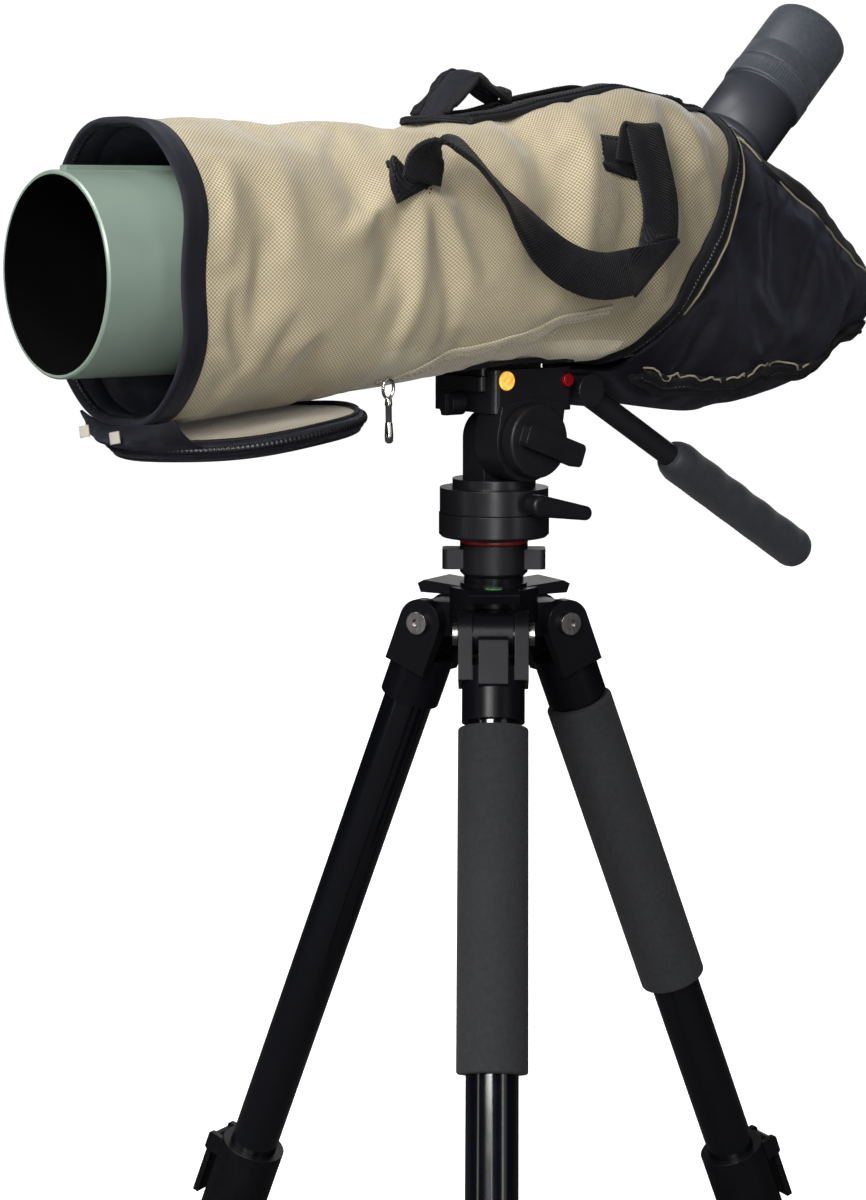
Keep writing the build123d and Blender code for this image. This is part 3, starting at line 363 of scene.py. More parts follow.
MATERIAL_OF = {
    "main_tube": SAGE, "prism_housing": SAGE, "dew_shield": SAGE, "mount_collar": HEAD_BLACK,
    "objective_lens": GLASS, "prism": GLASS, "focus_lens": GLASS, "zoom_lens": GLASS, "eye_lens": GLASS,
    "coarse_focus_knob": KNOB_RUBBER, "fine_focus_knob": KNOB_RUBBER, "collar_lock_knob": KNOB_BLACK,
    "eyepiece_barrel": EYEPIECE_BLACK, "eyepiece_lock_ring": EYEPIECE_BLACK, "zoom_ring": EYEPIECE_BLACK,
    "eyecup": EYECUP_RUBBER, "case_shell": TAN_WEAVE, "case_front_cover": TAN_WEAVE,
    "case_rear_hood": BLACK_LINING, "case_focus_flap": BLACK_LINING, "case_zippers": BLACK_TAPE,
    "carry_strap": BLACK_WEBBING, "zip_pull": CHROME, "quick_release_plate": HEAD_BLACK, "plate_screw": STEEL,
    "tilt_platform": HEAD_BLACK, "plate_lock_knob": KNOB_BLACK, "safety_button": RED_GLOSS,
    "head_level": LEVEL_AMBER, "pan_body": HEAD_BLACK, "tilt_lock_knob": KNOB_BLACK, "pan_base": HEAD_BLACK,
    "pan_lock_lever": KNOB_BLACK, "handle_rod": HANDLE_BLACK, "handle_grip": GRIP_RUBBER,
    "center_column": LEG_BLACK, "column_lock_collar": KNOB_BLACK, "spider": CAST_BLACK,
    "spider_level": LEVEL_GREEN, "leg_bolts": STEEL,
}
LEG_MATERIALS = {
    "leg_casting": CAST_BLACK, "leg_tube": LEG_BLACK, "leg_clamp": CLAMP_BLACK, "lock_lever": CLAMP_BLACK,
    "lower_tube": LEG_BLACK, "rubber_foot": FOOT_RUBBER, "leg_foam": FOAM_GREY,
}
for node_name, node in CAD.items():
    kind = node_name.split("_", 1)[-1]
    material = MATERIAL_OF.get(node_name) or LEG_MATERIALS[kind]
    node.data.materials.clear()
    node.data.materials.append(material)


def blacken_inside(name):
    """Gives the faces that look in towards the optical axis a dead black finish."""
    node = CAD[name]
    node.data.materials.append(INNER_BLACK)
    place = node.matrix_world
    for face in node.data.polygons:
        middle, facing = place @ face.center, place.to_3x3() @ face.normal
        inward = -facing.x * middle.x - facing.z * (middle.z - AXIS_Z)
        if inward > 0.3 * math.hypot(middle.x, middle.z - AXIS_Z) or (name == "main_tube" and middle.y < at(0, -195, 0).y):
            face.material_index = 1


for node_name in ("dew_shield", "main_tube"):
    blacken_inside(node_name)


# ------------------------------------------------------------------ mesh helpers
def make_piece(name, vertices, faces, materials, body, uvs=None, face_materials=None, smooth=True):
    """A mesh piece that rides on a body. Vertices are in metres; uvs, if given, hold one pair for each face corner."""
    mesh = bpy.data.meshes.new(name)
    mesh.from_pydata([tuple(v) for v in vertices], [], faces)
    if uvs is not None:
        layer = mesh.uv_layers.new(name="cloth")
        layer.data.foreach_set("uv", np.asarray(uvs, float).ravel())
    for material in materials:
        mesh.materials.append(material)
    if face_materials is not None:
        mesh.polygons.foreach_set("material_index", list(face_materials))
    work = bmesh.new()
    work.from_mesh(mesh)
    if all(edge.is_manifold for edge in work.edges):
        bmesh.ops.recalc_face_normals(work, faces=work.faces)
        work.to_mesh(mesh)
    work.free()
    mesh.polygons.foreach_set("use_smooth", [smooth] * len(mesh.polygons))
    piece = bpy.data.objects.new(name, mesh)
    bpy.context.scene.collection.objects.link(piece)
    if body is not None:
        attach(piece, body)
    return piece


def to_frame(points):
    """Millimetres about the optical axis to metres in the frame."""
    return np.asarray(points, float) * MM + np.array([0.0, 0.0, AXIS_Z])


def smooth_path(points, count, closed=False):
    """A Catmull-Rom curve through the points, resampled evenly by length."""
    p = np.asarray(points, float)
    n = len(p)
    spans = n if closed else n - 1
    samples = []
    for i in range(spans):
        if closed:
            a, b, c, d = p[(i - 1) % n], p[i], p[(i + 1) % n], p[(i + 2) % n]
        else:
            a, b, c, d = p[max(i - 1, 0)], p[i], p[i + 1], p[min(i + 2, n - 1)]
        for t in np.linspace(0, 1, 16, endpoint=False):
            samples.append(
                0.5 * (2 * b + (c - a) * t + (2 * a - 5 * b + 4 * c - d) * t**2 + (3 * b - a - 3 * c + d) * t**3)
            )
    samples.append(p[0] if closed else p[-1])
    samples = np.array(samples)
    length = np.r_[0, np.cumsum(np.linalg.norm(np.diff(samples[:, :3], axis=0), axis=1))]
    wanted = np.linspace(0, length[-1], count + 1 if closed else count)
    if closed:
        wanted = wanted[:-1]
    return np.stack([np.interp(wanted, length, samples[:, k]) for k in range(samples.shape[1])], 1)


def unit(v):
    v = np.asarray(v, float)
    return v / np.maximum(np.linalg.norm(v, axis=-1, keepdims=True), 1e-12)


def path_tangents(path, closed=False):
    if closed:
        return unit(np.roll(path, -1, 0) - np.roll(path, 1, 0))
    return unit(np.gradient(path, axis=0))


def grid_faces(rows, columns, wrap_rows=False, wrap_columns=False):
    faces = []
    for i in range(rows if wrap_rows else rows - 1):
        for j in range(columns if wrap_columns else columns - 1):
            i2, j2 = (i + 1) % rows, (j + 1) % columns
            faces.append((i * columns + j, i * columns + j2, i2 * columns + j2, i2 * columns + j))
    return faces


def sweep(name, path, sides_dir, profile, materials, body, closed=False, profile_materials=None, creased=False):
    """Carries a closed profile, pairs of (sideways, outward) in millimetres, along a path.
    sides_dir holds the sideways direction at each path point. In a creased sweep the longer ones are kept as they
    are, slanting across the path, so that a flat tape can fold over on itself along a diagonal."""
    path = np.asarray(path, float)
    tangent = path_tangents(path, closed)
    across = unit(sides_dir - tangent * np.sum(sides_dir * tangent, axis=1, keepdims=True))
    if creased:
        stretch = np.linalg.norm(sides_dir, axis=1, keepdims=True)
        across = across + (sides_dir - across) * np.clip((stretch - 1.03) / 0.1, 0, 1)
    out = unit(np.cross(across, tangent))
    profile = np.asarray(profile, float)
    count = len(profile)
    points = (path[:, None] + across[:, None] * profile[None, :, :1] + out[:, None] * profile[None, :, 1:]).reshape(-1, 3)
    faces = grid_faces(len(path), count, closed, True)
    girth = np.r_[0, np.cumsum(np.linalg.norm(np.diff(np.r_[profile, profile[:1]], axis=0), axis=1))] * MM
    steps = np.linalg.norm(np.diff(np.r_[path, path[:1]], axis=0), axis=1)
    along = np.r_[0, np.cumsum(steps)] * MM
    uvs, face_materials = [], []
    for i in range(len(path) if closed else len(path) - 1):
        for j in range(count):
            uvs += [(girth[j], along[i]), (girth[j + 1], along[i]), (girth[j + 1], along[i + 1]), (girth[j], along[i + 1])]
            face_materials.append(profile_materials[j] if profile_materials else 0)
    if not closed:
        for ring, order in ((0, 1), (len(path) - 1, -1)):
            faces.append(tuple(ring * count + k for k in range(count))[::-order])
            uvs += [(0, 0)] * count
            face_materials.append(profile_materials[0] if profile_materials else 0)
    return make_piece(name, to_frame(points), faces, materials, body, uvs, face_materials)


def lathe(name, profile, origin, axis, materials, body, sides=96, radius_of=None, face_material=None):
    """Turns a closed profile of (distance along the axis, radius) in millimetres about an axis."""
    axis = unit(axis)
    start = unit(np.cross(axis, [1.0, 0.0, 0.0] if abs(axis[0]) < 0.9 else [0.0, 1.0, 0.0]))
    side = np.cross(axis, start)
    count = len(profile)
    points = []
    for k in range(sides):
        turn = 2 * math.pi * k / sides
        out = start * math.cos(turn) + side * math.sin(turn)
        for distance, radius in profile:
            r = radius_of(distance, radius, turn) if radius_of else radius
            points.append(np.asarray(origin, float) + axis * distance + out * r)
    faces = [f[::-1] for f in grid_faces(sides, count, True, True)]
    face_materials = [face_material(k % count) if face_material else 0 for k in range(len(faces))]
    return make_piece(name, to_frame(points), faces, materials, body, None, face_materials)


def stitches(name, paths, normals, body, material, pitch=3.2, length=2.2, radius=0.32):
    """Short thread loops laid along paths, given in millimetres."""
    vertices, faces = [], []
    for path, normal in zip(paths, normals):
        path = np.asarray(path, float)
        steps = np.r_[0, np.cumsum(np.linalg.norm(np.diff(path, axis=0), axis=1))]
        for middle in np.arange(pitch / 2, steps[-1], pitch):
            spot = np.array([np.interp(middle, steps, path[:, k]) for k in range(3)])
            ahead = np.array([np.interp(middle + 0.5, steps, path[:, k]) for k in range(3)])
            up = np.array([np.interp(middle, steps, normal[:, k]) for k in range(3)])
            tangent = unit(ahead - spot) if np.linalg.norm(ahead - spot) > 1e-6 else unit(path[-1] - path[0])
            side = unit(np.cross(tangent, up))
            first = len(vertices)
            for share, size in ((-0.5, 0.45), (-0.3, 1.0), (0.3, 1.0), (0.5, 0.45)):
                for k in range(6):
                    turn = math.pi / 3 * k
                    ring = side * math.cos(turn) + unit(up) * math.sin(turn)
                    rise = 0.15 if size == 1.0 else -0.2
                    vertices.append(spot + tangent * length * share + ring * radius * size + up * rise)
            for i in range(3):
                for k in range(6):
                    a, b = first + i * 6 + k, first + i * 6 + (k + 1) % 6
                    faces.append((a, b, b + 6, a + 6))
            faces.append(tuple(first + k for k in range(6))[::-1])
            faces.append(tuple(first + 18 + k for k in range(6)))
    return make_piece(name, to_frame(vertices), faces, [material], body)


def coordinates(piece):
    flat = np.empty(len(piece.data.vertices) * 3)
    piece.data.vertices.foreach_get("co", flat)
    return flat.reshape(-1, 3)


def set_coordinates(piece, points):
    piece.data.vertices.foreach_set("co", np.asarray(points, float).ravel())
    piece.data.update()


def relax(piece, pins, slack, cap, frames=20, gravity=0.0, pressure=0.0, bending=0.4, pin_stiffness=1.0):
    """Runs Blender's cloth on a piece and keeps the result, moving no point more than about cap metres.
    pins holds one weight for each vertex; slack is the share by which the cloth is larger than its shape."""
    before = coordinates(piece)
    group = piece.vertex_groups.new(name="pins")
    for index, weight in enumerate(pins):
        if weight > 0.001:
            group.add([index], float(weight), "REPLACE")
    cloth = piece.modifiers.new("drape", "CLOTH")
    settings = cloth.settings
    settings.quality = 6
    settings.mass = 0.25
    settings.tension_stiffness = 20
    settings.compression_stiffness = 20
    settings.shear_stiffness = 8
    settings.bending_stiffness = bending
    settings.tension_damping = settings.compression_damping = 12
    settings.vertex_group_mass = "pins"
    settings.pin_stiffness = pin_stiffness
    settings.shrink_min = -slack
    settings.effector_weights.gravity = gravity
    if pressure:
        settings.use_pressure = True
        settings.uniform_pressure_force = pressure
    cloth.collision_settings.use_collision = False
    cloth.point_cache.frame_start, cloth.point_cache.frame_end = 1, frames
    scene = bpy.context.scene
    for number in range(1, frames + 1):
        scene.frame_set(number)
    shaped = piece.evaluated_get(bpy.context.evaluated_depsgraph_get())
    after = np.empty(len(before) * 3)
    shaped.data.vertices.foreach_get("co", after)
    after = after.reshape(-1, 3)
    piece.modifiers.remove(cloth)
    piece.vertex_groups.remove(group)
    scene.frame_set(1)
    move = after - before
    size = np.linalg.norm(move, axis=1, keepdims=True)
    move *= cap * np.tanh(size / cap) / np.maximum(size, 1e-9)
    set_coordinates(piece, before + np.nan_to_num(move))


def thicken(piece, thickness, rim_material=0, inner_material=0, subdivide=1):
    """Gives a sheet its thickness, inwards, after a round of subdivision."""
    if subdivide:
        finer = piece.modifiers.new("finer", "SUBSURF")
        finer.levels = finer.render_levels = subdivide
        finer.boundary_smooth = "PRESERVE_CORNERS"
    shell = piece.modifiers.new("shell", "SOLIDIFY")
    shell.thickness = thickness * MM
    shell.offset = -1
    shell.material_offset = inner_material
    shell.material_offset_rim = rim_material


def vertex_normals(piece):
    flat = np.empty(len(piece.data.vertices) * 3)
    piece.data.vertex_normals.foreach_get("vector", flat)
    return flat.reshape(-1, 3)


# ------------------------------------------------------------------ the case's shape
# Cross sections of the case and of its rear hood: place along Y, half width, top, bottom, roundness
CASE_SECTIONS = [
    (-230, 62, 75, -74, 0.9),
    (-150, 61, 73, -66, 0.9),
    (-66, 60, 75, -56, 0.85),
    (0, 61, 84, -51, 0.75),
    (68, 64, 97, -51, 0.7),
    (120, 63, 87, -56, 0.7),
    (166, 58, 69, -62, 0.75),
]
HOOD_SECTIONS = [
    (62, 61, 90, -57, 0.7),
    (90, 61, 91, -73, 0.7),
    (140, 58, 76, -80, 0.7),
    (200, 50, 50, -70, 0.7),
    (250, 36, 10, -52, 0.7),
    (292, 16, -14, -36, 0.7),
]
REAR_SEAM = [(36, -85), (113, 14), (142, 94), (159, 141)]
MOUTH_Y = CASE_SECTIONS[0][0]


class SoftBody:
    """The smooth outer surface through a list of rounded rectangular sections."""

    def __init__(self, sections, inset=0.0):
        table = np.array(sections, float)
        self.stations = np.arange(table[0, 0], table[-1, 0] + 0.1, 2.0)
        self.sizes = np.stack([np.interp(self.stations, table[:, 0], table[:, k]) for k in range(1, 5)], 1)
        kernel = np.exp(-np.linspace(-2.2, 2.2, 19) ** 2)
        kernel /= kernel.sum()
        for k in range(4):
            ends = np.r_[np.full(9, self.sizes[0, k]), self.sizes[:, k], np.full(9, self.sizes[-1, k])]
            self.sizes[:, k] = np.convolve(ends, kernel, "valid")
        self.inset = inset
        self.outlines = np.array([self.outline(*row) for row in self.sizes])

    def outline(self, half_width, top, bottom, roundness):
        """256 points round a section, evenly by length, from the bottom's middle up the +X side."""
        w, h = half_width - self.inset, (top - bottom) / 2 - self.inset
        mid, r = (top + bottom) / 2, roundness * min(half_width, (top - bottom) / 2) - self.inset
        points = [(0.0, -h)]
        for x, z, start in ((w - r, r - h, -90), (w - r, h - r, 0), (r - w, h - r, 90), (r - w, r - h, 180)):
            for a in np.radians(np.linspace(start, start + 90, 24)):
                points.append((x + r * math.cos(a), z + r * math.sin(a)))
        points.append((0.0, -h))
        points = np.array(points)
        length = np.r_[0, np.cumsum(np.linalg.norm(np.diff(points, axis=0), axis=1))]
        wanted = np.linspace(0, length[-1], 257)
        return np.stack([np.interp(wanted, length, points[:, 0]), np.interp(wanted, length, points[:, 1]) + mid], 1)

    def point(self, y, turn):
        """The surface point at y, a share turn of the way round."""
        row = np.interp(y, self.stations, np.arange(len(self.stations)))
        i = np.clip(np.floor(row).astype(int), 0, len(self.stations) - 2)
        f = row - i
        t = np.mod(turn, 1.0) * 256
        j = np.floor(t).astype(int) % 256
        g = t - np.floor(t)
        corner = lambda a, b: self.outlines[a, b]
        low = corner(i, j) * (1 - g)[..., None] + corner(i, j + 1) * g[..., None]
        high = corner(i + 1, j) * (1 - g)[..., None] + corner(i + 1, j + 1) * g[..., None]
        xz = low * (1 - f)[..., None] + high * f[..., None]
        return np.stack([xz[..., 0], np.broadcast_to(y, xz[..., 0].shape), xz[..., 1]], -1)

    def normal(self, y, turn):
        e = 0.01
        along = self.point(y + 2.0, turn) - self.point(y - 2.0, turn)
        round_ = self.point(y, turn + e) - self.point(y, turn - e)
        return unit(np.cross(round_, along))

    def girth(self, y):
        row = int(np.argmin(np.abs(self.stations - y)))
        return np.linalg.norm(np.diff(self.outlines[row], axis=0), axis=1).sum()


def rear_edge(z):
    """Where the case's rear seam lies along Y at a height."""
    ys, zs = zip(*REAR_SEAM)
    return np.interp(z, zs, ys)


case_form = SoftBody(CASE_SECTIONS)
hood_form = SoftBody(HOOD_SECTIONS)


# ------------------------------------------------------------------ case body
def ridge(y, z, start, end, width, height):
    """A fold: height millimetres along a line in side view, fading over width and towards its ends."""
    ay, az = start
    dy, dz = end[0] - ay, end[1] - az
    length = math.hypot(dy, dz)
    along = ((y - ay) * dy + (z - az) * dz) / length
    off = ((y - ay) * dz - (z - az) * dy) / length
    off = off + 2.5 * np.sin(along / 19.0 + ay)
    inside = np.clip(np.minimum(along / (0.25 * length), (length - along) / (0.45 * length)), 0, 1)
    inside = inside * inside * (3 - 2 * inside)
    return height * np.exp(-((off / width) ** 2)) * inside


STRAP_FRONT, STRAP_REAR = (-90, 52), (37, 66)
NEAR_FOLDS = [
    (STRAP_FRONT, (-168, 8), 7, -3.4), (STRAP_FRONT, (-150, -40), 8, 2.7), (STRAP_FRONT, (-112, -46), 7, -4.1),
    (STRAP_FRONT, (-78, -40), 6, 3.4), (STRAP_FRONT, (-60, -20), 7, -4.1), (STRAP_FRONT, (-30, 20), 7, 3.1),
    ((-8, 92), (-20, -30), 13, 5.4), ((20, 94), (6, -26), 8, -4.8), ((38, 62), (30, -30), 11, 3.4),
    ((60, 70), (64, -20), 7, -3.7), ((78, 92), (84, 0), 7, 4.1), ((92, 90), (104, 10), 6, -4.1),
    ((108, 92), (116, 26), 6, 3.7), ((-30, -34), (70, -20), 7, 2.7), ((-10, -44), (80, -36), 5, -3.1),
    ((-196, 60), (-204, -50), 9, 3.1), ((-212, 60), (-222, -40), 6, -2.7), ((-180, 66), (-176, -10), 8, -2.0),
    ((-140, 66), (-110, -20), 10, 2.4), ((-160, -46), (-60, -46), 8, -2.4),
]
SLOT_MIDDLE, SLOT_HALF_LENGTH, SLOT_HALF_WIDTH = 35, 75, 14
FOOT_HALF_LENGTH, FOOT_HALF_WIDTH = 30, 23
EYE_START = np.array([0.0, 107.0, 0.0])
EYE_AXIS = np.array([0.0, math.sqrt(0.5), math.sqrt(0.5)])
PORT_RADIUS = 28.0


def rounded_box(a, b, half_a, half_b, corner):
    """Distance outside a rounded rectangle, negative inside it."""
    qa, qb = np.abs(a) - half_a + corner, np.abs(b) - half_b + corner
    outside = np.hypot(np.maximum(qa, 0), np.maximum(qb, 0))
    return outside + np.minimum(np.maximum(qa, qb), 0) - corner


def case_opening(p):
    """Distance from the nearest opening in the case, negative inside one."""
    x, y, z = p[..., 0], p[..., 1], p[..., 2]
    top = np.where(z > 0, rounded_box(x, y - SLOT_MIDDLE, SLOT_HALF_WIDTH, SLOT_HALF_LENGTH, 13), 99.0)
    foot = np.where(z < 0, rounded_box(x, y, FOOT_HALF_WIDTH, FOOT_HALF_LENGTH, 8), 99.0)
    along = (p - EYE_START) @ EYE_AXIS
    port = np.where(along > 35, np.linalg.norm(p - EYE_START - along[..., None] * EYE_AXIS, axis=-1) - PORT_RADIUS, 99.0)
    return np.minimum(np.minimum(top, foot), port)


def snap_to_edge(points, distance, reach):
    """Moves the points near an opening's edge onto it."""
    for _ in range(3):
        value = distance(points)
        slope = np.stack([distance(points + step) - distance(points - step) for step in np.eye(3) * 0.25], -1) / 0.5
        slope[..., 2] *= 0.3
        near = (np.abs(value) < reach)[..., None]
        points = points - np.where(near, slope * value[..., None], 0)
    return points


def case_point(y, turn):
    """A point of the finished case surface before the cloth is relaxed, and its outward direction."""
    base = case_form.point(y, turn)
    normal = case_form.normal(y, turn)
    depth = np.zeros(base.shape[:-1])
    side = np.sign(base[..., 0])
    for start, end, width, height in NEAR_FOLDS:
        near = ridge(base[..., 1], base[..., 2], start, end, width, height)
        far = ridge(base[..., 1], base[..., 2], (start[0] + 9, start[1]), (end[0] - 6, end[1]), width, 0.8 * height)
        depth += np.where(side > 0, near, far)
    seam = np.minimum(base[..., 1] - MOUTH_Y, rear_edge(base[..., 2]) - base[..., 1])
    hold = np.clip(seam / 16.0, 0, 1) * np.clip(case_opening(base) / 10.0, 0, 1)
    hold *= np.clip(np.abs(base[..., 0]) / 30.0, 0, 1)
    return base + normal * (depth * hold)[..., None], normal


def column_ends(form, turns, limit):
    """Where each lengthwise line of the case meets the rear seam."""
    ends = np.full(len(turns), 120.0)
    for _ in range(12):
        ends = 0.5 * ends + 0.5 * np.minimum(rear_edge(form.point(ends, turns)[:, 2]), limit)
    return ends


def make_case_body():
    rows, columns = 88, 112
    turns = np.arange(columns) / columns
    ends = column_ends(case_form, turns, 160.0)
    share = np.linspace(0, 1, rows)[:, None]
    y = MOUTH_Y + share * (ends[None] - MOUTH_Y)
    turn = np.broadcast_to(turns, y.shape)
    points, _ = case_point(y, turn)
    points = snap_to_edge(points, case_opening, 2.3).reshape(-1, 3)
    distance = case_opening(points)
    girth = case_form.girth(0.0)
    faces, uvs, face_materials = [], [], []
    for i, j in ((i, j) for i in range(rows - 1) for j in range(columns)):
        j2 = (j + 1) % columns
        face = (i * columns + j, (i + 1) * columns + j, (i + 1) * columns + j2, i * columns + j2)
        if max(distance[k] for k in face) < 0.35:
            continue
        faces.append(face)
        for row, column in ((i, j), (i + 1, j), (i + 1, j + 1), (i, j + 1)):
            uvs.append((column / columns * girth * MM, y[row, column % columns] * MM))
        middle = points[list(face)].mean(0)
        hem = middle[2] < -38 and -118 < middle[1] < 46
        face_materials.append(2 if hem else 0)
    used = sorted({k for face in faces for k in face})
    index = {k: n for n, k in enumerate(used)}
    faces = [tuple(index[k] for k in face) for face in faces]
    points, distance = points[used], distance[used]
    materials = [TAN_WEAVE, BLACK_LINING, TAN_HEM, BLACK_LINING]
    body = make_piece("case_body", to_frame(points), faces, materials, "scope", uvs, face_materials)
    seam = np.minimum(points[:, 1] - MOUTH_Y, rear_edge(points[:, 2]) - points[:, 1])
    pins = np.clip(1.2 - seam / 9.0, 0.03, 1)
    pins = np.maximum(pins, np.clip(1.2 - distance / 7.0, 0, 1))
    for spot_y, spot_z in (STRAP_FRONT, STRAP_REAR):
        away = np.hypot(points[:, 1] - spot_y, points[:, 2] - spot_z)
        pins = np.maximum(pins, np.where(points[:, 0] > 0, np.clip(1.6 - away / 12.0, 0, 1), 0))
    relax(body, pins, slack=0.025, cap=0.005, bending=0.6)
    thicken(body, 1.6, rim_material=1, inner_material=1)
    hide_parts("case_shell")
    return body


def surface_tree(piece):
    """A search tree over a piece's mesh, in metres."""
    return BVHTree.FromPolygons([Vector(p) for p in coordinates(piece)], [tuple(p.vertices) for p in piece.data.polygons])


def lay_on(tree, path, lift):
    """Drops a path, in millimetres, onto a surface, lifted clear of it. Returns the path and the surface normals."""
    laid, normals = [], []
    for point in to_frame(path):
        place, normal, _, _ = tree.find_nearest(Vector(point))
        outward = Vector(point) - Vector((0, point[1], AXIS_Z))
        if normal.dot(outward) < 0:
            normal = -normal
        laid.append(np.array(place) + np.array(normal) * lift * MM)
        normals.append(np.array(normal))
    laid = np.array(laid)
    laid[:, 2] -= AXIS_Z
    return laid / MM, np.array(normals)


def softened(values, rounds=3, closed=False):
    for _ in range(rounds):
        if closed:
            values = (np.roll(values, 1, 0) + 2 * values + np.roll(values, -1, 0)) / 4
        else:
            values = np.r_[values[:1], (values[:-2] + 2 * values[1:-1] + values[2:]) / 4, values[-1:]]
    return values


def tape_profile(width, thickness, crown=0.0):
    """A flat tape's cross section with rounded sides, slightly crowned."""
    half, t = width / 2, thickness / 2
    upper = [(-half, 0.0), (-half + 0.5, t), (-half / 2, t + 0.7 * crown), (0.0, t + crown), (half / 2, t + 0.7 * crown)]
    return [*upper, (half - 0.5, t), (half, 0.0), (half - 0.5, -t), (0.0, -t), (-half + 0.5, -t)]


def round_profile(radius, sides=8, rise=0.0):
    return [
        (radius * math.cos(2 * math.pi * k / sides), rise + radius * math.sin(2 * math.pi * k / sides))
        for k in range(sides)
    ][::-1]


def tape_on_case(name, tree, path, width, lift, material, closed=False, thickness=0.9, crown=0.2, count=160):
    path = smooth_path(path, count, closed)
    laid, normals = lay_on(tree, path, lift)
    laid, normals = softened(laid, 4, closed), unit(softened(normals, 8, closed))
    tangent = path_tangents(laid, closed)
    across = np.cross(tangent, normals)
    return sweep(name, laid, across, tape_profile(width, thickness, crown), [material], "scope", closed), laid, normals


def zip_coil(name, path, normals, radius, material, body, closed=False, pitch=2.4):
    """A row of coil teeth: a bead whose radius pulses once a tooth."""
    steps = np.linalg.norm(np.diff(np.r_[path, path[:1]] if closed else path, axis=0), axis=1)
    length = np.r_[0, np.cumsum(steps)]
    total = length[-1]
    teeth = int(round(total / pitch))
    wanted = np.linspace(0, total, teeth * 4 + 1)[: -1 if closed else None]
    source = np.r_[path, path[:1]] if closed else path
    facing = np.r_[normals, normals[:1]] if closed else normals
    fine = np.stack([np.interp(wanted, length, source[:, k]) for k in range(3)], 1)
    up = unit(np.stack([np.interp(wanted, length, facing[:, k]) for k in range(3)], 1))
    tangent = path_tangents(fine, closed)
    across = unit(np.cross(tangent, up))
    vertices = []
    sides = 8
    for k, (place, a, u) in enumerate(zip(fine, across, up)):
        size = radius * (1.0, 0.86, 0.62, 0.86)[k % 4]
        for s in range(sides):
            turn = 2 * math.pi * s / sides
            vertices.append(place + (a * math.cos(turn) * 1.5 + u * math.sin(turn)) * size)
    faces = grid_faces(len(fine), sides, closed, True)
    if not closed:
        faces.append(tuple(range(sides))[::-1])
        faces.append(tuple((len(fine) - 1) * sides + s for s in range(sides)))
    return make_piece(name, to_frame(vertices), faces, [material], body)


# ------------------------------------------------------------------ mouth, cover and hood
def make_mouth():
    """The black turned-out binding round the open mouth, with its zip."""
    count = 220
    turns = np.arange(count) / count
    rim = case_form.point(np.full(count, float(MOUTH_Y)), turns)
    out = case_form.normal(np.full(count, MOUTH_Y + 4.0), turns)
    lean = 1.2 * np.sin(turns * 2 * math.pi * 3 + 0.6) + 0.7 * np.sin(turns * 2 * math.pi * 7)
    rim = rim + np.stack([np.zeros(count), lean, np.zeros(count)], 1) + out * 0.4
    back = np.tile([0.0, 1.0, 0.0], (count, 1))
    fold = [
        (2, -0.6), (2, 0.9), (-2, 1.3), (-6.0, 1.1), (-9.0, 1.7), (-10.6, 1.2), (-11.2, -0.3), (-10.6, -1.6),
        (-6, -2.2), (6, -3.0), (6, -2.4), (-4, -1.4),
    ]
    binding = sweep("mouth_binding", rim, back, fold, [BLACK_LINING], "scope", closed=True)
    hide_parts("case_zippers")
    ridge_path = rim + out * 2.0 + np.tile([0.0, -7.0, 0.0], (count, 1))
    zip_coil("mouth_zip", ridge_path, out, 1.2, ZIP_TEETH, "scope", closed=True)
    return rim, out


COVER_MIDDLE = np.array([0.0, -171.0, -80.0])
COVER_SLOPE = math.radians(6.0)
COVER_RADIUS = 66.0
COVER_UP = np.array([0.0, -math.sin(COVER_SLOPE), math.cos(COVER_SLOPE)])
COVER_BACK = np.array([0.0, math.cos(COVER_SLOPE), math.sin(COVER_SLOPE)])


def cover_place(radius, turn, height):
    """A point of the cover: turn 0 points along +X, a quarter turn points back under the case."""
    out = np.array([1.0, 0, 0]) * math.cos(turn) + COVER_BACK * math.sin(turn)
    sag = 1.2 * math.sin(2 * turn + 0.5) + 0.7 * math.sin(5 * turn + 1.0)
    ease = min(1.0, radius / COVER_RADIUS) ** 2
    return COVER_MIDDLE + out * radius + COVER_UP * (height + sag * ease * 0.5)


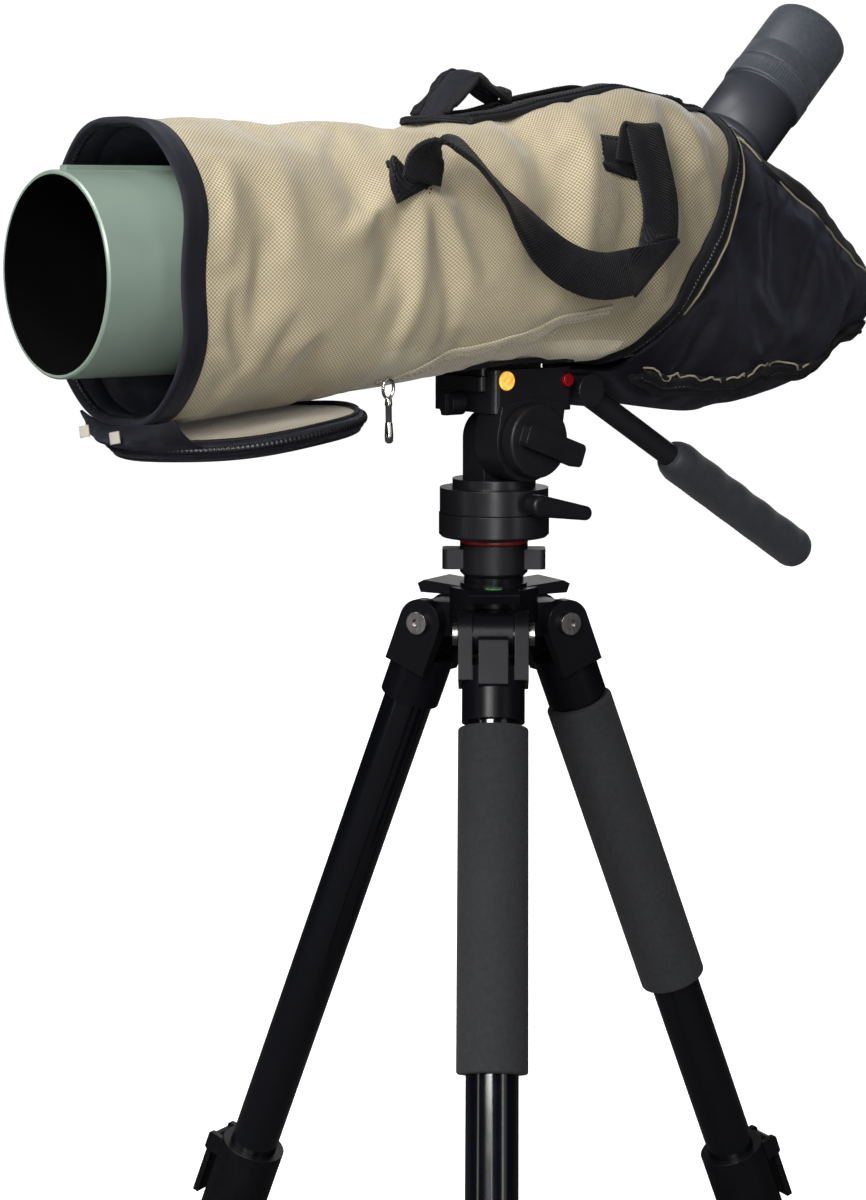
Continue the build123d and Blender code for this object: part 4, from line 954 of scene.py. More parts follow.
def make_cover():
    """The mouth's padded cover, zipped open and folded back under the case."""
    skin = [(0, 4.6), (14, 4.7), (28, 4.8), (42, 4.6), (52, 4.3), (58, 3.8), (60.4, 3.2), (61.2, 2.6), (62.0, 3.4)]
    edge = [(64.0, 4.0), (65.6, 3.0), (66.0, 1.4), (66.0, -1.6), (65.4, -3.4), (63.6, -4.4), (61.5, -4.2), (60.5, -3.4)]
    lining = [(58, -3.8), (46, -4.6), (30, -4.8), (14, -4.6), (0, -4.4)]
    profile = skin + edge + lining
    sides = 120
    vertices, faces, uvs, face_materials = [cover_place(*profile[0][:1], 0.0, profile[0][1])], [], [], []
    rings = profile[1:-1]
    for radius, height in rings:
        for k in range(sides):
            turn = 2 * math.pi * k / sides
            quilt = 0.8 * math.sin(radius / 9.0 + 2.2 * math.cos(turn * 2)) if 8 < radius < 56 else 0.0
            vertices.append(cover_place(radius, turn, height + quilt * (1 if height > 0 else -1)))
    vertices.append(cover_place(0.0, 0.0, profile[-1][1]))
    last = len(vertices) - 1

    def flat(index):
        offset = np.asarray(vertices[index]) - COVER_MIDDLE
        return (offset[0] * MM, float(offset @ COVER_BACK) * MM)

    def add(face, material):
        faces.append(face)
        uvs.extend(flat(i) for i in face)
        face_materials.append(material)

    for k in range(sides):
        k2 = (k + 1) % sides
        add((0, 1 + k, 1 + k2), 0)
        for r in range(len(rings) - 1):
            a, b = 1 + r * sides, 1 + (r + 1) * sides
            material = 0 if r < len(skin) - 3 else 1
            add((a + k, b + k, b + k2, a + k2), material)
        end = 1 + (len(rings) - 1) * sides
        add((end + k, last, end + k2), 1)
    materials = [TAN_WEAVE, BLACK_LINING]
    cover = make_piece("front_cover", to_frame(vertices), faces, materials, "front_cover", uvs, face_materials)
    finer = cover.modifiers.new("finer", "SUBSURF")
    finer.levels = finer.render_levels = 1
    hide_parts("case_front_cover")
    count = 200
    ring = np.array([cover_place(COVER_RADIUS + 0.3, 2 * math.pi * k / count, 0.4) for k in range(count)])
    out = unit(np.array([cover_place(80, 2 * math.pi * k / count, 0.4) for k in range(count)]) - ring)
    zip_coil("cover_zip", ring, out, 1.3, ZIP_TEETH, "front_cover", closed=True)
    for name, height, material in (("cover_piping_top", 4.3, BLACK_TAPE), ("cover_piping_bottom", -4.6, BLACK_TAPE)):
        cord = np.array([cover_place(62.8, 2 * math.pi * k / count, height) for k in range(count)])
        up = np.tile(COVER_UP, (count, 1))
        sweep(name, cord, up, round_profile(1.1), [material], "front_cover", closed=True)


def make_cover_hinge(rim):
    """The fabric that joins the mouth's lower edge to the cover."""
    rows, columns = 14, 25
    points = []
    for i in range(rows):
        s = i / (rows - 1)
        for j in range(columns):
            u = 2 * j / (columns - 1) - 1
            x = 44 * u
            back = math.sqrt(COVER_RADIUS**2 - x**2)
            top = np.array([x, MOUTH_Y - 8.5 + 3.0 * u * u, -75.6 + 6.0 * u * u])
            low = COVER_MIDDLE + np.array([x, 0, 0]) - COVER_BACK * (back - 1.5) + COVER_UP * 1.0
            bulge = np.array([0.0, -7.5 * (1 - 0.6 * u * u), -1.5]) * math.sin(math.pi * s)
            ripple = 0.9 * math.sin(5 * math.pi * u + 3 * s) * math.sin(math.pi * s)
            points.append(top * (1 - s) + low * s + bulge + np.array([0, -ripple, 0]))
    uvs = []
    faces = grid_faces(rows, columns)
    for face in faces:
        uvs += [(points[k][0] * MM, (k // columns) * 1.2 * MM) for k in face]
    hinge = make_piece("cover_hinge", to_frame(points), faces, [BLACK_LINING], None, uvs)
    thicken(hinge, 1.4)
    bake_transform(hinge)


def make_hood():
    """The eyepiece's cover, unzipped and hanging open behind, with its dark lining outwards."""
    rows, columns = 64, 76
    u = np.linspace(-1, 1, columns)
    stations = np.linspace(hood_form.stations[0], HOOD_END, 160)
    fine = np.linspace(0.0, 0.5, 300)
    opening = []
    for y in stations:
        z = hood_form.point(np.full(300, y), fine)[:, 2]
        rim = hood_rim(y)
        above = np.where(z > rim)[0]
        opening.append(fine[above[0]] if len(above) else 0.492)
    opening = softened(np.array(opening)[:, None], 12)[:, 0]
    reach = lambda y: np.interp(y, stations, opening)
    ends = np.full(columns, 120.0)
    for _ in range(14):
        ends = 0.5 * ends + 0.5 * rear_edge(hood_form.point(ends, u * reach(ends))[:, 2])
    ends = np.maximum(ends - 1.0, stations[0])
    share = np.linspace(0, 1, rows)[:, None] ** 0.92
    y = ends[None] + share * (stations[-1] - ends[None])
    turn = u[None] * reach(y)
    base = hood_form.point(y, turn)
    normal = hood_form.normal(y, turn)
    depth = np.zeros(y.shape)
    for start, end, width, height in HOOD_FOLDS:
        depth += ridge(base[..., 1], base[..., 2], start, end, width, height) * np.where(base[..., 0] > 0, 1.0, -0.8)
    depth *= np.clip(share * 9, 0, 1) * np.clip((1 - np.abs(u))[None] * 8, 0, 1)
    base = base + normal * depth[..., None]
    close = np.clip((base[..., 1] - HOOD_END + 18.0) / 18.0, 0, 1)[..., None] ** 2
    middle = np.stack([np.zeros_like(y), base[..., 1], np.full_like(y, -25.0)], -1)
    base = base * (1 - 0.8 * close) + middle * 0.8 * close
    girth = 300.0
    uvs = []
    faces = [face[::-1] for face in grid_faces(rows, columns)]
    flat_y = y.ravel()
    for face in faces:
        uvs += [(u[k % columns] * girth / 2 * MM, flat_y[k] * MM) for k in face]
    points = base.reshape(-1, 3)
    materials = [BLACK_LINING, BLACK_LINING]
    hood = make_piece("rear_hood", to_frame(points), faces, materials, "scope", uvs)
    row = np.repeat(np.arange(rows), columns)
    column = np.tile(np.arange(columns), rows)
    pins = np.full(len(points), 0.03)
    pins[row < 2] = 1
    pins[(column < 2) | (column > columns - 3) | (row > rows - 3)] = 0.8
    relax(hood, pins, slack=0.05, cap=0.007, bending=0.25)
    thicken(hood, 1.5)
    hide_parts("case_rear_hood")
    settled = coordinates(hood).copy()
    settled[:, 2] -= AXIS_Z
    return (settled / MM).reshape(rows, columns, 3)


HOOD_FOLDS = [
    ((150, 50), (180, -50), 9, 3.0), ((176, 40), (214, -46), 8, -3.2), ((130, 20), (120, -64), 8, -2.4),
    ((200, 20), (160, -60), 7, 2.6), ((226, 10), (232, -52), 7, 2.4), ((250, -4), (200, -50), 6, -2.2),
    ((110, -20), (90, -68), 7, 2.4), ((140, -30), (250, -50), 7, -2.4), ((120, -56), (220, -66), 5, 2.6),
    ((160, 46), (270, -14), 6, 2.0),
]
HOOD_END = 284.0
HOOD_RIM = [(142, 92), (158, 56), (296, -20)]


def hood_rim(y):
    """Height of the hood's open upper edge at a place along Y."""
    ys, zs = zip(*HOOD_RIM)
    return 150.0 if y < ys[0] else float(np.interp(y, ys, zs))


# ------------------------------------------------------------------ trims, flap, strap and zip pull
def make_hood_trims(sheet):
    """The hood's bound edge with its pale piping and its zip."""
    rim = np.r_[sheet[:, 0][::-1], sheet[:, -1]]
    keep = np.r_[True, np.linalg.norm(np.diff(rim, axis=0), axis=1) > 0.5]
    path = softened(smooth_path(rim[keep], 240), 4)
    inner = softened(smooth_path(np.r_[sheet[:, 4][::-1], sheet[:, -5]][keep], 240), 8)
    across = unit(inner - path)
    sweep("hood_binding", path, across, tape_profile(15, 3.0, 0.3), [BLACK_TAPE], "scope")
    side = np.cross(path_tangents(path), across)
    out = unit(side * np.sign((side * [1.0, 0, 0]).sum(1) * np.sign(path[:, 0]) + 1e-6)[:, None])
    cord = path + across * 8.2 + out * 1.2
    sweep("hood_piping", cord, across, round_profile(0.6, 6), [THREAD_TAN], "scope")
    zip_coil("hood_zip", path - across * 7.6, out, 1.0, ZIP_TEETH, "scope")
    return path


HOOD_LOW_EDGE = [(46, 62, -74), (48, 80, -72), (48, 110, -70), (46, 150, -68), (42, 190, -64), (34, 232, -56), (22, 266, -42)]


def make_hood_low_band(tree):
    """The zip band along the hood's lower edge, with frayed pale thread standing above it."""
    for name, side in (("near", 1), ("far", -1)):
        path = [(side * x, y, z) for x, y, z in HOOD_LOW_EDGE]
        _, laid, normals = tape_on_case(
            f"{name}_hood_band", tree, path, 16, 1.0, BLACK_TAPE, thickness=2.6, crown=0.8, count=110
        )
        zip_coil(f"{name}_hood_band_zip", laid + normals * 2.0, normals, 1.1, ZIP_TEETH, "scope")
        across = np.cross(path_tangents(laid), normals)
        up = across * np.sign(across[:, 2:3])
        step = np.arange(len(laid))[:, None]
        stray = 2.0 * np.sin(step * 0.55) + 1.3 * np.sin(step * 1.31 + 1.0)
        thread = laid + up * (9.0 + stray) + normals * (0.9 + 0.5 * np.sin(step * 0.9))
        keep = slice(4, 70)
        sweep(
            f"{name}_frayed_thread", thread[keep], across[keep], round_profile(0.55, 6), [THREAD_TAN], "scope"
        )


def seam_path(form, turns, ahead, lift):
    """A line round the case a fixed distance ahead of its rear seam."""
    ends = column_ends(form, turns, 160.0)
    return form.point(ends - ahead, turns) + form.normal(ends - ahead, turns) * lift


def make_rear_seam(tree):
    """The black binding over the seam between the case and the hood, and the pale piping behind it."""
    count = 240
    turns = np.arange(count) / count
    seam = seam_path(case_form, turns, 7.0, 0.5)
    path, normals = lay_on(tree, seam, 1.2)
    path, normals = softened(path, 6, True), unit(softened(normals, 16, True))
    across = np.cross(path_tangents(path, True), normals)
    behind = across * np.sign(across[:, 1:2] + 1e-9)
    order = (np.arange(count) + count // 2) % count
    order = order[case_opening(seam[order]) > 4.0]
    path, normals, across, behind = path[order], normals[order], across[order], behind[order]
    sweep("rear_binding", path, across, tape_profile(13, 2.4, 0.5), [BLACK_TAPE], "scope")
    zip_coil("rear_binding_zip", path + behind * 1.5 + normals * 1.3, normals, 1.2, ZIP_TEETH, "scope")
    cord = path + behind * 7.2 + normals * 0.8
    sweep("rear_piping", cord, across, round_profile(0.7, 6), [THREAD_TAN], "scope")


def slot_path(half_width, half_length, middle, corner, count):
    """A rounded rectangle seen from above, in millimetres."""
    loop = []
    for sx, sy, start in ((1, 1, 0), (-1, 1, 90), (-1, -1, 180), (1, -1, 270)):
        for a in np.radians(np.linspace(start, start + 90, 7)):
            x = sx * (half_width - corner) + corner * math.cos(a)
            loop.append((x, middle + sy * (half_length - corner) + corner * math.sin(a), 0.0))
    return smooth_path(np.array(loop), count, True)


def surface_height(tree, path, way):
    """The height, in millimetres about the axis, of the surface met from above (-1) or from below (1)."""
    heights = []
    for x, y, _ in path:
        hit = tree.ray_cast(at(x, y, -200 * way), Vector((0, 0, way)))
        heights.append((hit[0].z - AXIS_Z) / MM if hit[0] is not None else np.nan)
    heights = np.array(heights)
    known = np.isfinite(heights)
    heights[~known] = np.interp(np.where(~known)[0], np.where(known)[0], heights[known])
    return heights


def make_slot_zips(tree):
    """The zips and their black tapes round the opening on top and the one over the mounting foot."""
    for name, half_width, half_length, middle, corner, way, width, thickness, coil_radius, count in (
        ("top_zip", SLOT_HALF_WIDTH + 7, SLOT_HALF_LENGTH + 7, SLOT_MIDDLE, 16, -1, 17, 1.6, 1.25, 260),
        ("foot_zip", FOOT_HALF_WIDTH + 4, FOOT_HALF_LENGTH + 4, 0, 11, 1, 12, 0.9, 0.7, 150),
    ):
        path = slot_path(half_width, half_length, middle, corner, count)
        path[:, 2] = surface_height(tree, path, way)
        path[:, 2] = softened(path[:, 2:], 24, True)[:, 0] - way * 0.5 * thickness
        normals = unit(np.c_[path[:, 0] * 0.012, np.zeros(count), np.full(count, -way)])
        across = unit(np.cross(path_tangents(path, True), normals))
        flat = tape_profile(width, thickness, 0.25 * thickness)
        sweep(f"{name}_tape", path, across, flat, [BLACK_TAPE], "scope", True)
        coil = path + normals * 0.75 * thickness
        zip_coil(f"{name}_coil", coil, normals, coil_radius, ZIP_TEETH, "scope", True)
        outward = unit(path * [1, 0, 0] + (path - [0, middle, 0]) * [0, 0.4, 0])
        fold = path + across * np.sign((across * outward).sum(1, keepdims=True)) * 0.41 * width + normals * 0.75 * thickness
        fold = softened(fold, 6, True)
        sweep(f"{name}_fold", fold, across, round_profile(0.95 * thickness), [BLACK_TAPE], "scope", True)


def make_side_zips(tree):
    for name, side in (("near_zip", 1), ("far_zip", -1)):
        points = [(25, 100, 92), (27, 112, 89), (28, 126, 82), (29, 140, 76), (29, 150, 72)]
        path = [(side * x, y, z) for x, y, z in points]
        piece, laid, normals = tape_on_case(f"{name}_tape", tree, path, 14, 0.9, BLACK_TAPE, count=50)
        zip_coil(f"{name}_coil", laid + normals * 0.9, normals, 1.1, ZIP_TEETH, "scope")


def make_hem(tree):
    """The pale folded hem low on each side, with its two rows of stitching."""
    low = [(0, -112, -50), (30, -104, -53), (44, -80, -51), (52, -50, -46), (58, -20, -38), (60, 8, -31), (61, 34, -28)]
    for name, side in (("near_hem", 1), ("far_hem", -1)):
        band_path = [(side * x, y, z) for x, y, z in low[1:]]
        tape_on_case(f"{name}_band", tree, band_path, 9, 0.5, TAN_HEM, thickness=1.2, count=90)
        paths, facings = [], []
        for drop in (3.0, -3.0):
            path = smooth_path([(side * x, y, z + drop) for x, y, z in low[1:]], 90)
            laid, normals = lay_on(tree, path, 1.25)
            paths.append(laid)
            facings.append(unit(softened(normals, 4)))
        stitches(name, paths, facings, "scope", THREAD_TAN)


def make_focus_flap():
    """The black cloth flap that stands up over the focus knobs, propped on the top zip."""
    rows, columns = 26, 30
    spine = [(-31, 77), (-27, 84), (-19, 94), (-12, 101), (-5, 104.5), (3, 103), (10, 99), (19, 96)]
    curve = smooth_path([(0, y, z) for y, z in spine], rows)
    points = []
    for i in range(rows):
        s = i / (rows - 1)
        for j in range(columns):
            t = j / (columns - 1)
            half = 13.5 - 4.5 * s**3
            x = -20 + half * (2 * t - 1)
            edge = abs(2 * t - 1) ** 3
            lift = 1.8 * math.sin(2.6 * t + 2.4 * s) * math.sin(math.pi * s) - 4.5 * edge * s
            y = curve[i, 1] + 2.2 * math.sin(3.1 * t + 0.7) * s
            points.append((x, y, curve[i, 2] + lift))
    faces = grid_faces(rows, columns)
    uvs = []
    for face in faces:
        uvs += [((k % columns) * 0.9 * MM, (k // columns) * 2.1 * MM) for k in face]
    flap = make_piece("focus_flap", to_frame(points), faces, [BLACK_LINING], "focus_flap", uvs)
    pins = np.array([1.0 if i < 2 else 0.08 for i in range(rows) for _ in range(columns)])
    relax(flap, pins, slack=0.04, cap=0.003, bending=0.5)
    thicken(flap, 1.6)
    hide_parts("case_focus_flap")
    shape = coordinates(flap).copy()
    shape[:, 2] -= AXIS_Z
    sheet = (shape / MM).reshape(rows, columns, 3)
    edge = np.r_[sheet[2:, 0], sheet[-1, 1:-1], sheet[2:, -1][::-1]]
    inner = np.r_[sheet[2:, 2], sheet[-3, 1:-1], sheet[2:, -3][::-1]]
    path = smooth_path(edge, 110)
    towards = unit(smooth_path(inner, 110) - path)
    sweep("focus_flap_binding", path, towards, tape_profile(7, 2.6, 0.2), [BLACK_TAPE], "focus_flap")


# The strap's middle line, from the front patch to the rear one, and its sideways direction at each of those points.
STRAP_LINE = [
    ((63.2, -100, 45), (0, -1, -0.2)), ((63.6, -99, 50), (0, -1, -0.2)), ((64.6, -98, 56), (0, -1, -0.2)),
    ((67.0, -96, 61), (0.1, -0.97, -0.2)), ((70.5, -91.5, 64.5), (0.3, -0.94, -0.15)),
    ((73.5, -84.5, 63), (0.52, -0.85, -0.05)), ((75.8, -76, 56.5), (0.68, -0.73, 0)),
    ((77.6, -66.5, 46.5), (0.74, -0.67, -0.05)), ((79.2, -57, 36), (0.68, -0.72, -0.1)),
    ((80.5, -47, 24.5), (0.5, -0.8, -0.35)), ((81.4, -36, 13.5), (0.3, -0.78, -0.58)),
    ((82.0, -23, 4.5), (0.18, -0.6, -0.8)), ((82.4, -8, -1.5), (0.1, -0.3, -0.95)),
    ((82.5, 7, -3.6), (0.05, -0.02, -1)), ((82.5, 20.2, -2.4), (0, 0.14, -0.99)),
    ((82.5, 28.2, -1.2), (0, -0.34, -1.06)), ((82.5, 36.1, -0.1), (0, -0.84, -1.13)),
    ((82.4, 42.0, 0.7), (0, -1.2, -1.18)), ((81.0, 45.2, -0.3), (0, -1.33, -1.2)),
    ((79.5, 44.5, 2.9), (0, -1.3, -1.08)), ((79.3, 45.9, 8.8), (0, -1.21, -0.72)),
    ((79.0, 47.8, 16.5), (0, -1.09, -0.24)), ((78.5, 49.8, 24.3), (0, -0.97, 0.24)),
    ((77.2, 50.2, 36), (0, -1, 0.1)), ((75.3, 48.8, 47), (0, -1, 0)), ((73.2, 47.0, 58), (0, -1, 0)),
    ((71.4, 45.8, 67), (0, -1, 0)), ((69.8, 45.2, 73), (0, -1, 0)), ((67.8, 44.8, 75.4), (0, -1, 0)),
    ((66.2, 44.2, 72.8), (0, -1, 0)), ((65.6, 43, 65), (0, -1, 0)), ((65.2, 41.5, 55), (0, -1, 0)),
]
STRAP_WIDTH = 25.0


def make_strap():
    """The carry strap: ribbed webbing that leaves one patch, hangs in a loop and returns to the other."""
    path = smooth_path([[*place, *sideways] for place, sideways in STRAP_LINE], 420)
    line, sideways = softened(path[:, :3], 2), softened(path[:, 3:], 6)
    strap = sweep(
        "carry_strap", line, sideways, tape_profile(STRAP_WIDTH, 2.4), [BLACK_WEBBING], "scope",
        creased=True,
    )
    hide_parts("carry_strap")
    paths, facings = [], []
    tangent = path_tangents(line)
    across = unit(sideways - tangent * (sideways * tangent).sum(1, keepdims=True))
    out = np.cross(across, tangent)
    for share in (-0.42, 0.42):
        paths.append(line[6:40] + across[6:40] * STRAP_WIDTH * share + out[6:40] * 1.35)
        facings.append(out[6:40])
    stitches("strap_stitches", paths, facings, "scope", BLACK_TAPE, radius=0.4)


def make_patches(tree):
    """The stitched patches that hold the strap's two ends."""
    for name, points, width in (
        ("front_patch", [(66, -101, 42), (66, -100, 51), (66, -98, 61)], 30),
        ("rear_patch", [(66, 35, 48), (66, 36.5, 60), (66, 38, 73)], 30),
    ):
        path = smooth_path(points, 24)
        laid, normals = lay_on(tree, path, 0.7)
        laid, normals = softened(laid, 6), unit(softened(normals, 10))
        across = np.cross(path_tangents(laid), normals)
        sweep(name, laid, across, tape_profile(width, 2.2, 0.3), [BLACK_WEBBING], "scope")
        seams = [laid[2:-2] + across[2:-2] * width * s + normals[2:-2] * 1.4 for s in (-0.44, 0.44)]
        ends = []
        for k in (2, -3):
            span = np.linspace(-0.44, 0.44, 12)[:, None] * width
            ends.append(laid[k] + across[k] * span + normals[k] * 1.4)
        facings = [normals[2:-2], normals[2:-2], np.tile(normals[2], (12, 1)), np.tile(normals[-3], (12, 1))]
        stitches(
            f"{name}_stitches", seams + ends, facings, "scope", BLACK_TAPE, pitch=2.6, length=1.7, radius=0.4
        )


def make_zip_pull():
    """The metal ring and bar that hang from the slider on the cover's zip."""
    ring = [(40.5 + 0.4 * math.sin(a), -104 + 3.4 * math.cos(a), -60 + 5.0 * math.sin(a)) for a in np.linspace(0, 2 * math.pi, 41)[:-1]]
    side = np.tile([1.0, 0.0, 0.0], (40, 1))
    pull = sweep("zip_ring", np.array(ring), side, round_profile(0.85), [CHROME], "zip_pull", closed=True)
    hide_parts("zip_pull")
    bar = [
        (0, 0.0), (0, 1.0), (1.0, 1.8), (4.0, 2.0), (5.0, 1.7), (13.0, 1.7), (14.0, 2.0), (20.0, 2.3), (23.0, 2.1), (24.0, 1.0),
        (24.0, 0.0),
    ]
    lathe(
        "zip_bar", bar, (40.6, -104, -64.2), (0.02, 0.0, -1.0), [CHROME, KNOB_RUBBER], "zip_pull", 24,
        face_material=lambda k: 1 if k == 4 else 0,
    )


def make_tags():
    """Two small pale labels sewn into the cover's hinge."""
    for number, (x, y, z) in enumerate(((-24, -246.5, -79), (8, -248.5, -80))):
        vertices, faces = [], []
        rows, columns = 5, 7
        for i in range(rows):
            for j in range(columns):
                s, t = i / (rows - 1) - 0.5, j / (columns - 1) - 0.5
                vertices.append((x + 9 * t, y - 1.2 * math.cos(3 * t) - 0.8 * s, z + 6 * s + 1.5 * t))
        faces = grid_faces(rows, columns)
        uvs = []
        for face in faces:
            uvs += [((vertices[k][0]) * MM, (vertices[k][2]) * MM) for k in face]
        tag = make_piece(f"cover_tag_{number}", to_frame(vertices), faces, [LABEL_CLOTH], "scope", uvs)
        thicken(tag, 0.7)


# ------------------------------------------------------------------ eyepiece, grip and other hard trims
def ribbed(distance, radius, turn, start, end, count, depth):
    """Sinks evenly spaced grooves into a ring between two distances."""
    if start < distance < end:
        wave = 0.5 - 0.5 * math.cos(count * turn)
        return radius - depth * (1 - wave**0.5)
    return radius


def eye_point(distance):
    return EYE_START + EYE_AXIS * distance


def make_eyepiece():
    """The zoom ring with its fluted band, the faceted lock ring, the bright flange and the folding cup."""
    zoom = [
        (92.0, 18.3), (92.0, 23.4), (92.5, 24.1), (93.4, 24.4), (97.0, 24.4), (97.3, 24.1), (97.8, 24.1), (98.1, 24.4),
        (131.6, 24.4), (132.0, 24.0), (132.8, 24.0), (133.2, 24.9), (133.8, 25.4), (134.6, 25.5), (135.4, 25.5),
        (143.6, 25.5), (144.4, 25.5), (145.2, 25.3), (145.9, 24.7), (146.0, 18.3),
    ]
    ring = lathe(
        "zoom_ring", zoom, (0, 107, 0), EYE_AXIS, [EYEPIECE_BLACK, EYECUP_RUBBER], "zoom", 360,
        lambda d, r, t: ribbed(d, r, t, 134.8, 144.2, 90, 0.4), lambda k: 1 if 11 <= k <= 17 else 0,
    )
    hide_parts("zoom_ring")
    lock = [(77.3, 19.4), (77.3, 23.0), (78.2, 24.2), (79.4, 24.4), (86.6, 24.4), (87.8, 24.1), (88.6, 23.0), (88.6, 19.4)]
    locking = lathe(
        "lock_ring", lock, (0, 107, 0), EYE_AXIS, [EYEPIECE_BLACK], "lock_ring", 288,
        lambda d, r, t: ribbed(d, r, t, 78.6, 87.4, 24, 0.9),
    )
    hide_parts("eyepiece_lock_ring")
    cup = [
        (146.3, 18.2), (146.3, 24.0), (146.8, 24.9), (147.8, 25.0), (158.0, 25.0), (158.5, 24.7), (159.1, 25.0),
        (182.0, 25.0), (185.6, 24.9), (187.6, 24.4), (188.7, 23.4), (189.0, 22.0), (188.8, 20.4), (187.4, 19.0),
        (184.4, 18.2),
    ]
    eyecup = lathe("eyecup", cup, (0, 107, 0), EYE_AXIS, [EYECUP_RUBBER], "eyecup", 160)
    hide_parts("eyecup")
    flange = [(89.1, 19.2), (89.1, 24.2), (89.5, 24.75), (91.2, 24.75), (91.6, 24.2), (91.6, 19.2)]
    lathe("bright_flange", flange, (0, 107, 0), EYE_AXIS, [RING_SILVER], "scope", 160)


HANDLE_ORIGIN = np.array([20.0, 46.0, -68.0])
HANDLE_SLOPE = math.radians(31.0)
HANDLE_AXIS = np.array([0.0, math.cos(HANDLE_SLOPE), -math.sin(HANDLE_SLOPE)])


def make_grip():
    """The handle's rubber grip, with finger hollows along its underside and fine rings between them."""
    start, end, radius = 78.0, 205.0, 12.0
    profile = [(start, 6.6), (start, 8.2), (start + 1.0, 9.4), (start + 4.0, 10.9), (start + 8.0, 11.8)]
    steps = 84
    for i in range(steps + 1):
        profile.append((start + 9.0 + (end - start - 19.0) * i / steps, radius))
    profile += [(end - 7, 11.7), (end - 4, 10.6), (end - 2, 9.0), (end - 0.6, 6.4), (end, 3.0), (end, 0.4)]
    profile += [(end - 19.8, 0.4), (end - 19.8, 6.6)]

    def shape(distance, size, turn):
        along = (distance - start - 9.0) / (end - start - 19.0)
        if not 0 <= along <= 1 or size < 11:
            return size
        ease = math.sin(math.pi * along) ** 0.35
        low = 0.5 - 0.5 * math.cos(turn - GRIP_TURN)
        fingers = 1.5 * (0.5 - 0.5 * math.cos(along * 2 * math.pi * 4.5)) * low**2
        rings = 0.22 * (0.5 - 0.5 * math.cos(along * 2 * math.pi * 28)) * (1 - low)
        return size - ease * (fingers + rings)

    grip = lathe("handle_grip", profile, HANDLE_ORIGIN, HANDLE_AXIS, [GRIP_RUBBER], "handle", 96, shape)
    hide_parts("handle_grip")


GRIP_TURN = math.pi / 2


def make_red_ring():
    """The thin red ring under the pan base."""
    profile = [(-151.6, 16.7), (-151.6, 18.4), (-151.0, 18.9), (-149.4, 18.9), (-148.9, 18.4), (-148.9, 16.7)]
    lathe("red_ring", profile, (0, 0, 0), (0, 0, 1), [RED_RING], "column", 128)


make_eyepiece()
make_grip()
make_red_ring()


case_body = make_case_body()
case_tree = surface_tree(case_body)
mouth_rim, mouth_out = make_mouth()
make_cover()
make_cover_hinge(mouth_rim)
hood_sheet = make_hood()
make_hood_trims(hood_sheet)
make_hood_low_band(surface_tree(bpy.data.objects["rear_hood"]))
make_rear_seam(case_tree)
make_slot_zips(case_tree)
make_side_zips(case_tree)
make_hem(case_tree)
make_focus_flap()
make_strap()
make_patches(case_tree)
make_zip_pull()
make_tags()


# ------------------------------------------------------------------ stage, lights and camera
def make_floor():
    """A wide pale floor that curves up far away, all round."""
    rings = [(0.0, 0.0), (2.0, 0.0), (5.0, 0.0)]
    turn_radius, flat_radius, steps = 3.0, 6.0, 10
    for i in range(steps + 1):
        a = math.pi / 2 * i / steps
        rings.append((flat_radius + turn_radius * math.sin(a), turn_radius * (1 - math.cos(a))))
    rings.append((flat_radius + turn_radius, 7.0))
    count = 96
    vertices, faces = [], []
    for radius, height in rings:
        for k in range(count):
            a = 2 * math.pi * k / count
            vertices.append((radius * math.cos(a), radius * math.sin(a), height))
    for i in range(len(rings) - 1):
        for k in range(count):
            n = (k + 1) % count
            faces.append((i * count + k, i * count + n, (i + 1) * count + n, (i + 1) * count + k))
    mesh = bpy.data.meshes.new("floor")
    mesh.from_pydata(vertices, [], faces)
    mesh.polygons.foreach_set("use_smooth", [True] * len(mesh.polygons))
    floor = bpy.data.objects.new("floor", mesh)
    bpy.context.scene.collection.objects.link(floor)
    mesh.materials.append(backdrop_paint("floor_paint", (0.80, 0.80, 0.80), 0.92))


def make_light(name, place, target, size, power, color=(1, 1, 1)):
    data = bpy.data.lights.new(name, "AREA")
    data.shape = "RECTANGLE"
    data.size, data.size_y = size
    data.energy = power
    data.color = color
    light = bpy.data.objects.new(name, data)
    light.location = place
    light.rotation_mode = "QUATERNION"
    light.rotation_quaternion = (Vector(target) - Vector(place)).to_track_quat("-Z", "Y")
    light.visible_camera = False
    bpy.context.scene.collection.objects.link(light)


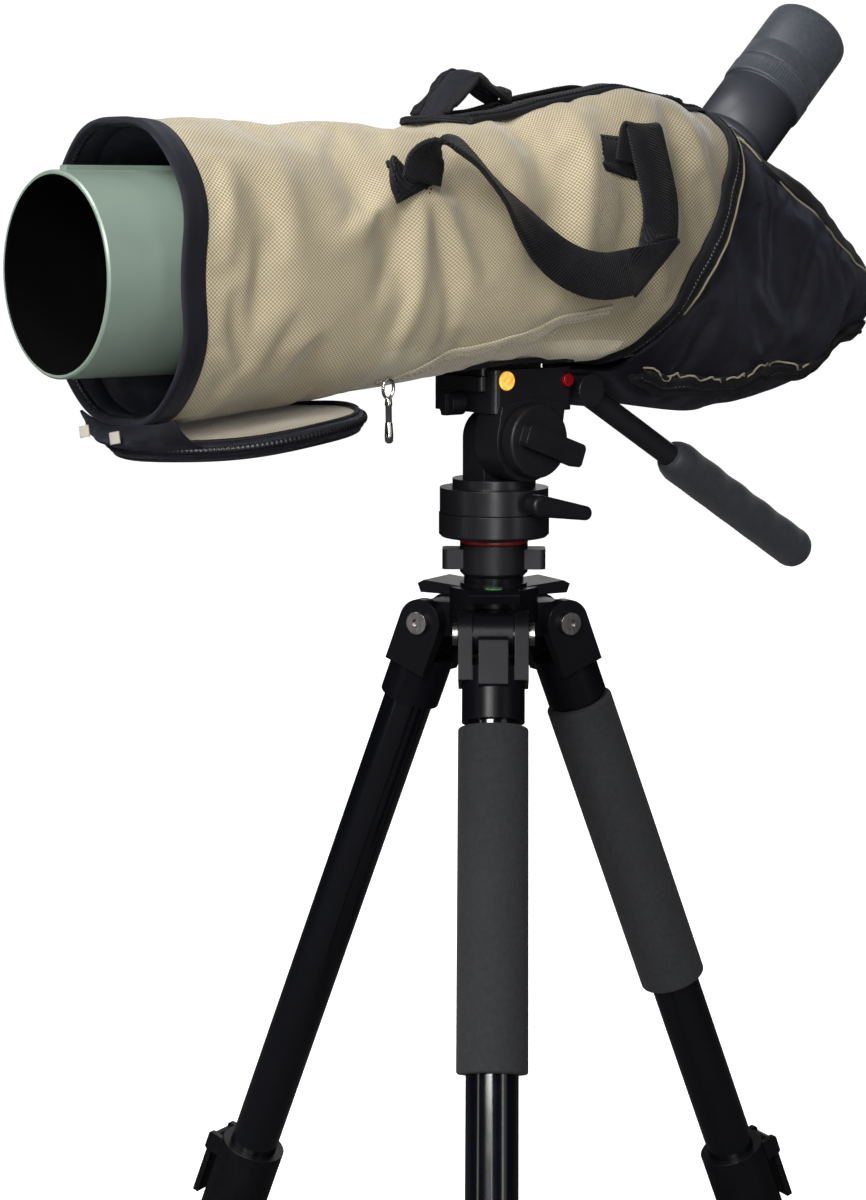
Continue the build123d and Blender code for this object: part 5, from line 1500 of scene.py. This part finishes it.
def make_world():
    world = bpy.data.worlds.new("studio")
    world.use_nodes = True
    tree = world.node_tree
    tree.nodes.clear()
    output = tree.nodes.new("ShaderNodeOutputWorld")
    background = tree.nodes.new("ShaderNodeBackground")
    background.inputs["Color"].default_value = (1.0, 1.0, 1.0, 1.0)
    path = tree.nodes.new("ShaderNodeLightPath")
    strength = tree.nodes.new("ShaderNodeMapRange")
    strength.inputs["To Min"].default_value, strength.inputs["To Max"].default_value = 0.16, 0.05
    tree.links.new(path.outputs["Is Glossy Ray"], strength.inputs["Value"])
    tree.links.new(strength.outputs[0], background.inputs["Strength"])
    tree.links.new(background.outputs[0], output.inputs[0])
    bpy.context.scene.world = world


CAMERA_AZIMUTH, CAMERA_DISTANCE, CAMERA_RISE = math.radians(50.5), 1.5, 0.036
CAMERA_PITCH, CAMERA_YAW, CAMERA_LENS = math.radians(8.34), math.radians(1.287), 81.9


def make_camera():
    """The viewpoint: a long lens from the objective's side, level with the top of the tube, looking slightly down."""
    data = bpy.data.cameras.new("camera")
    data.lens = CAMERA_LENS
    data.sensor_width = 36.0
    data.clip_end = 50.0
    camera = bpy.data.objects.new("camera", data)
    away = Vector((math.sin(CAMERA_AZIMUTH), -math.cos(CAMERA_AZIMUTH), 0.0))
    camera.location = away * CAMERA_DISTANCE + Vector((0, 0, AXIS_Z + CAMERA_RISE))
    ahead = Matrix.Rotation(CAMERA_YAW, 3, "Z") @ -away
    look = ahead * math.cos(CAMERA_PITCH) - Vector((0, 0, math.sin(CAMERA_PITCH)))
    camera.rotation_mode = "QUATERNION"
    camera.rotation_quaternion = look.to_track_quat("-Z", "Y")
    bpy.context.scene.collection.objects.link(camera)
    bpy.context.scene.camera = camera


make_floor()
make_world()
make_camera()
middle = (0.0, 0.0, 0.5)
make_light("key", (1.5, -2.5, 2.05), middle, (1.1, 1.1), 100)
make_light("top", (-0.3, -1.6, 2.8), middle, (1.4, 1.4), 66)
make_light("fill", (2.6, 0.6, 1.2), middle, (1.2, 2.2), 4)
make_light("back", (-1.8, 2.2, 1.6), middle, (1.4, 2.0), 8)
make_light("left_strip", (-0.5, -2.5, 0.5), (0, 0, 0.5), (0.22, 1.9), 3)
make_light("right_strip", (2.6, 0.4, 0.5), (0, 0, 0.5), (0.16, 1.9), 4)
make_light("front_strip", (2.1, -1.6, 0.95), (0, 0, 0.95), (0.26, 1.9), 26)
bpy.context.scene.view_settings.view_transform = "Standard"
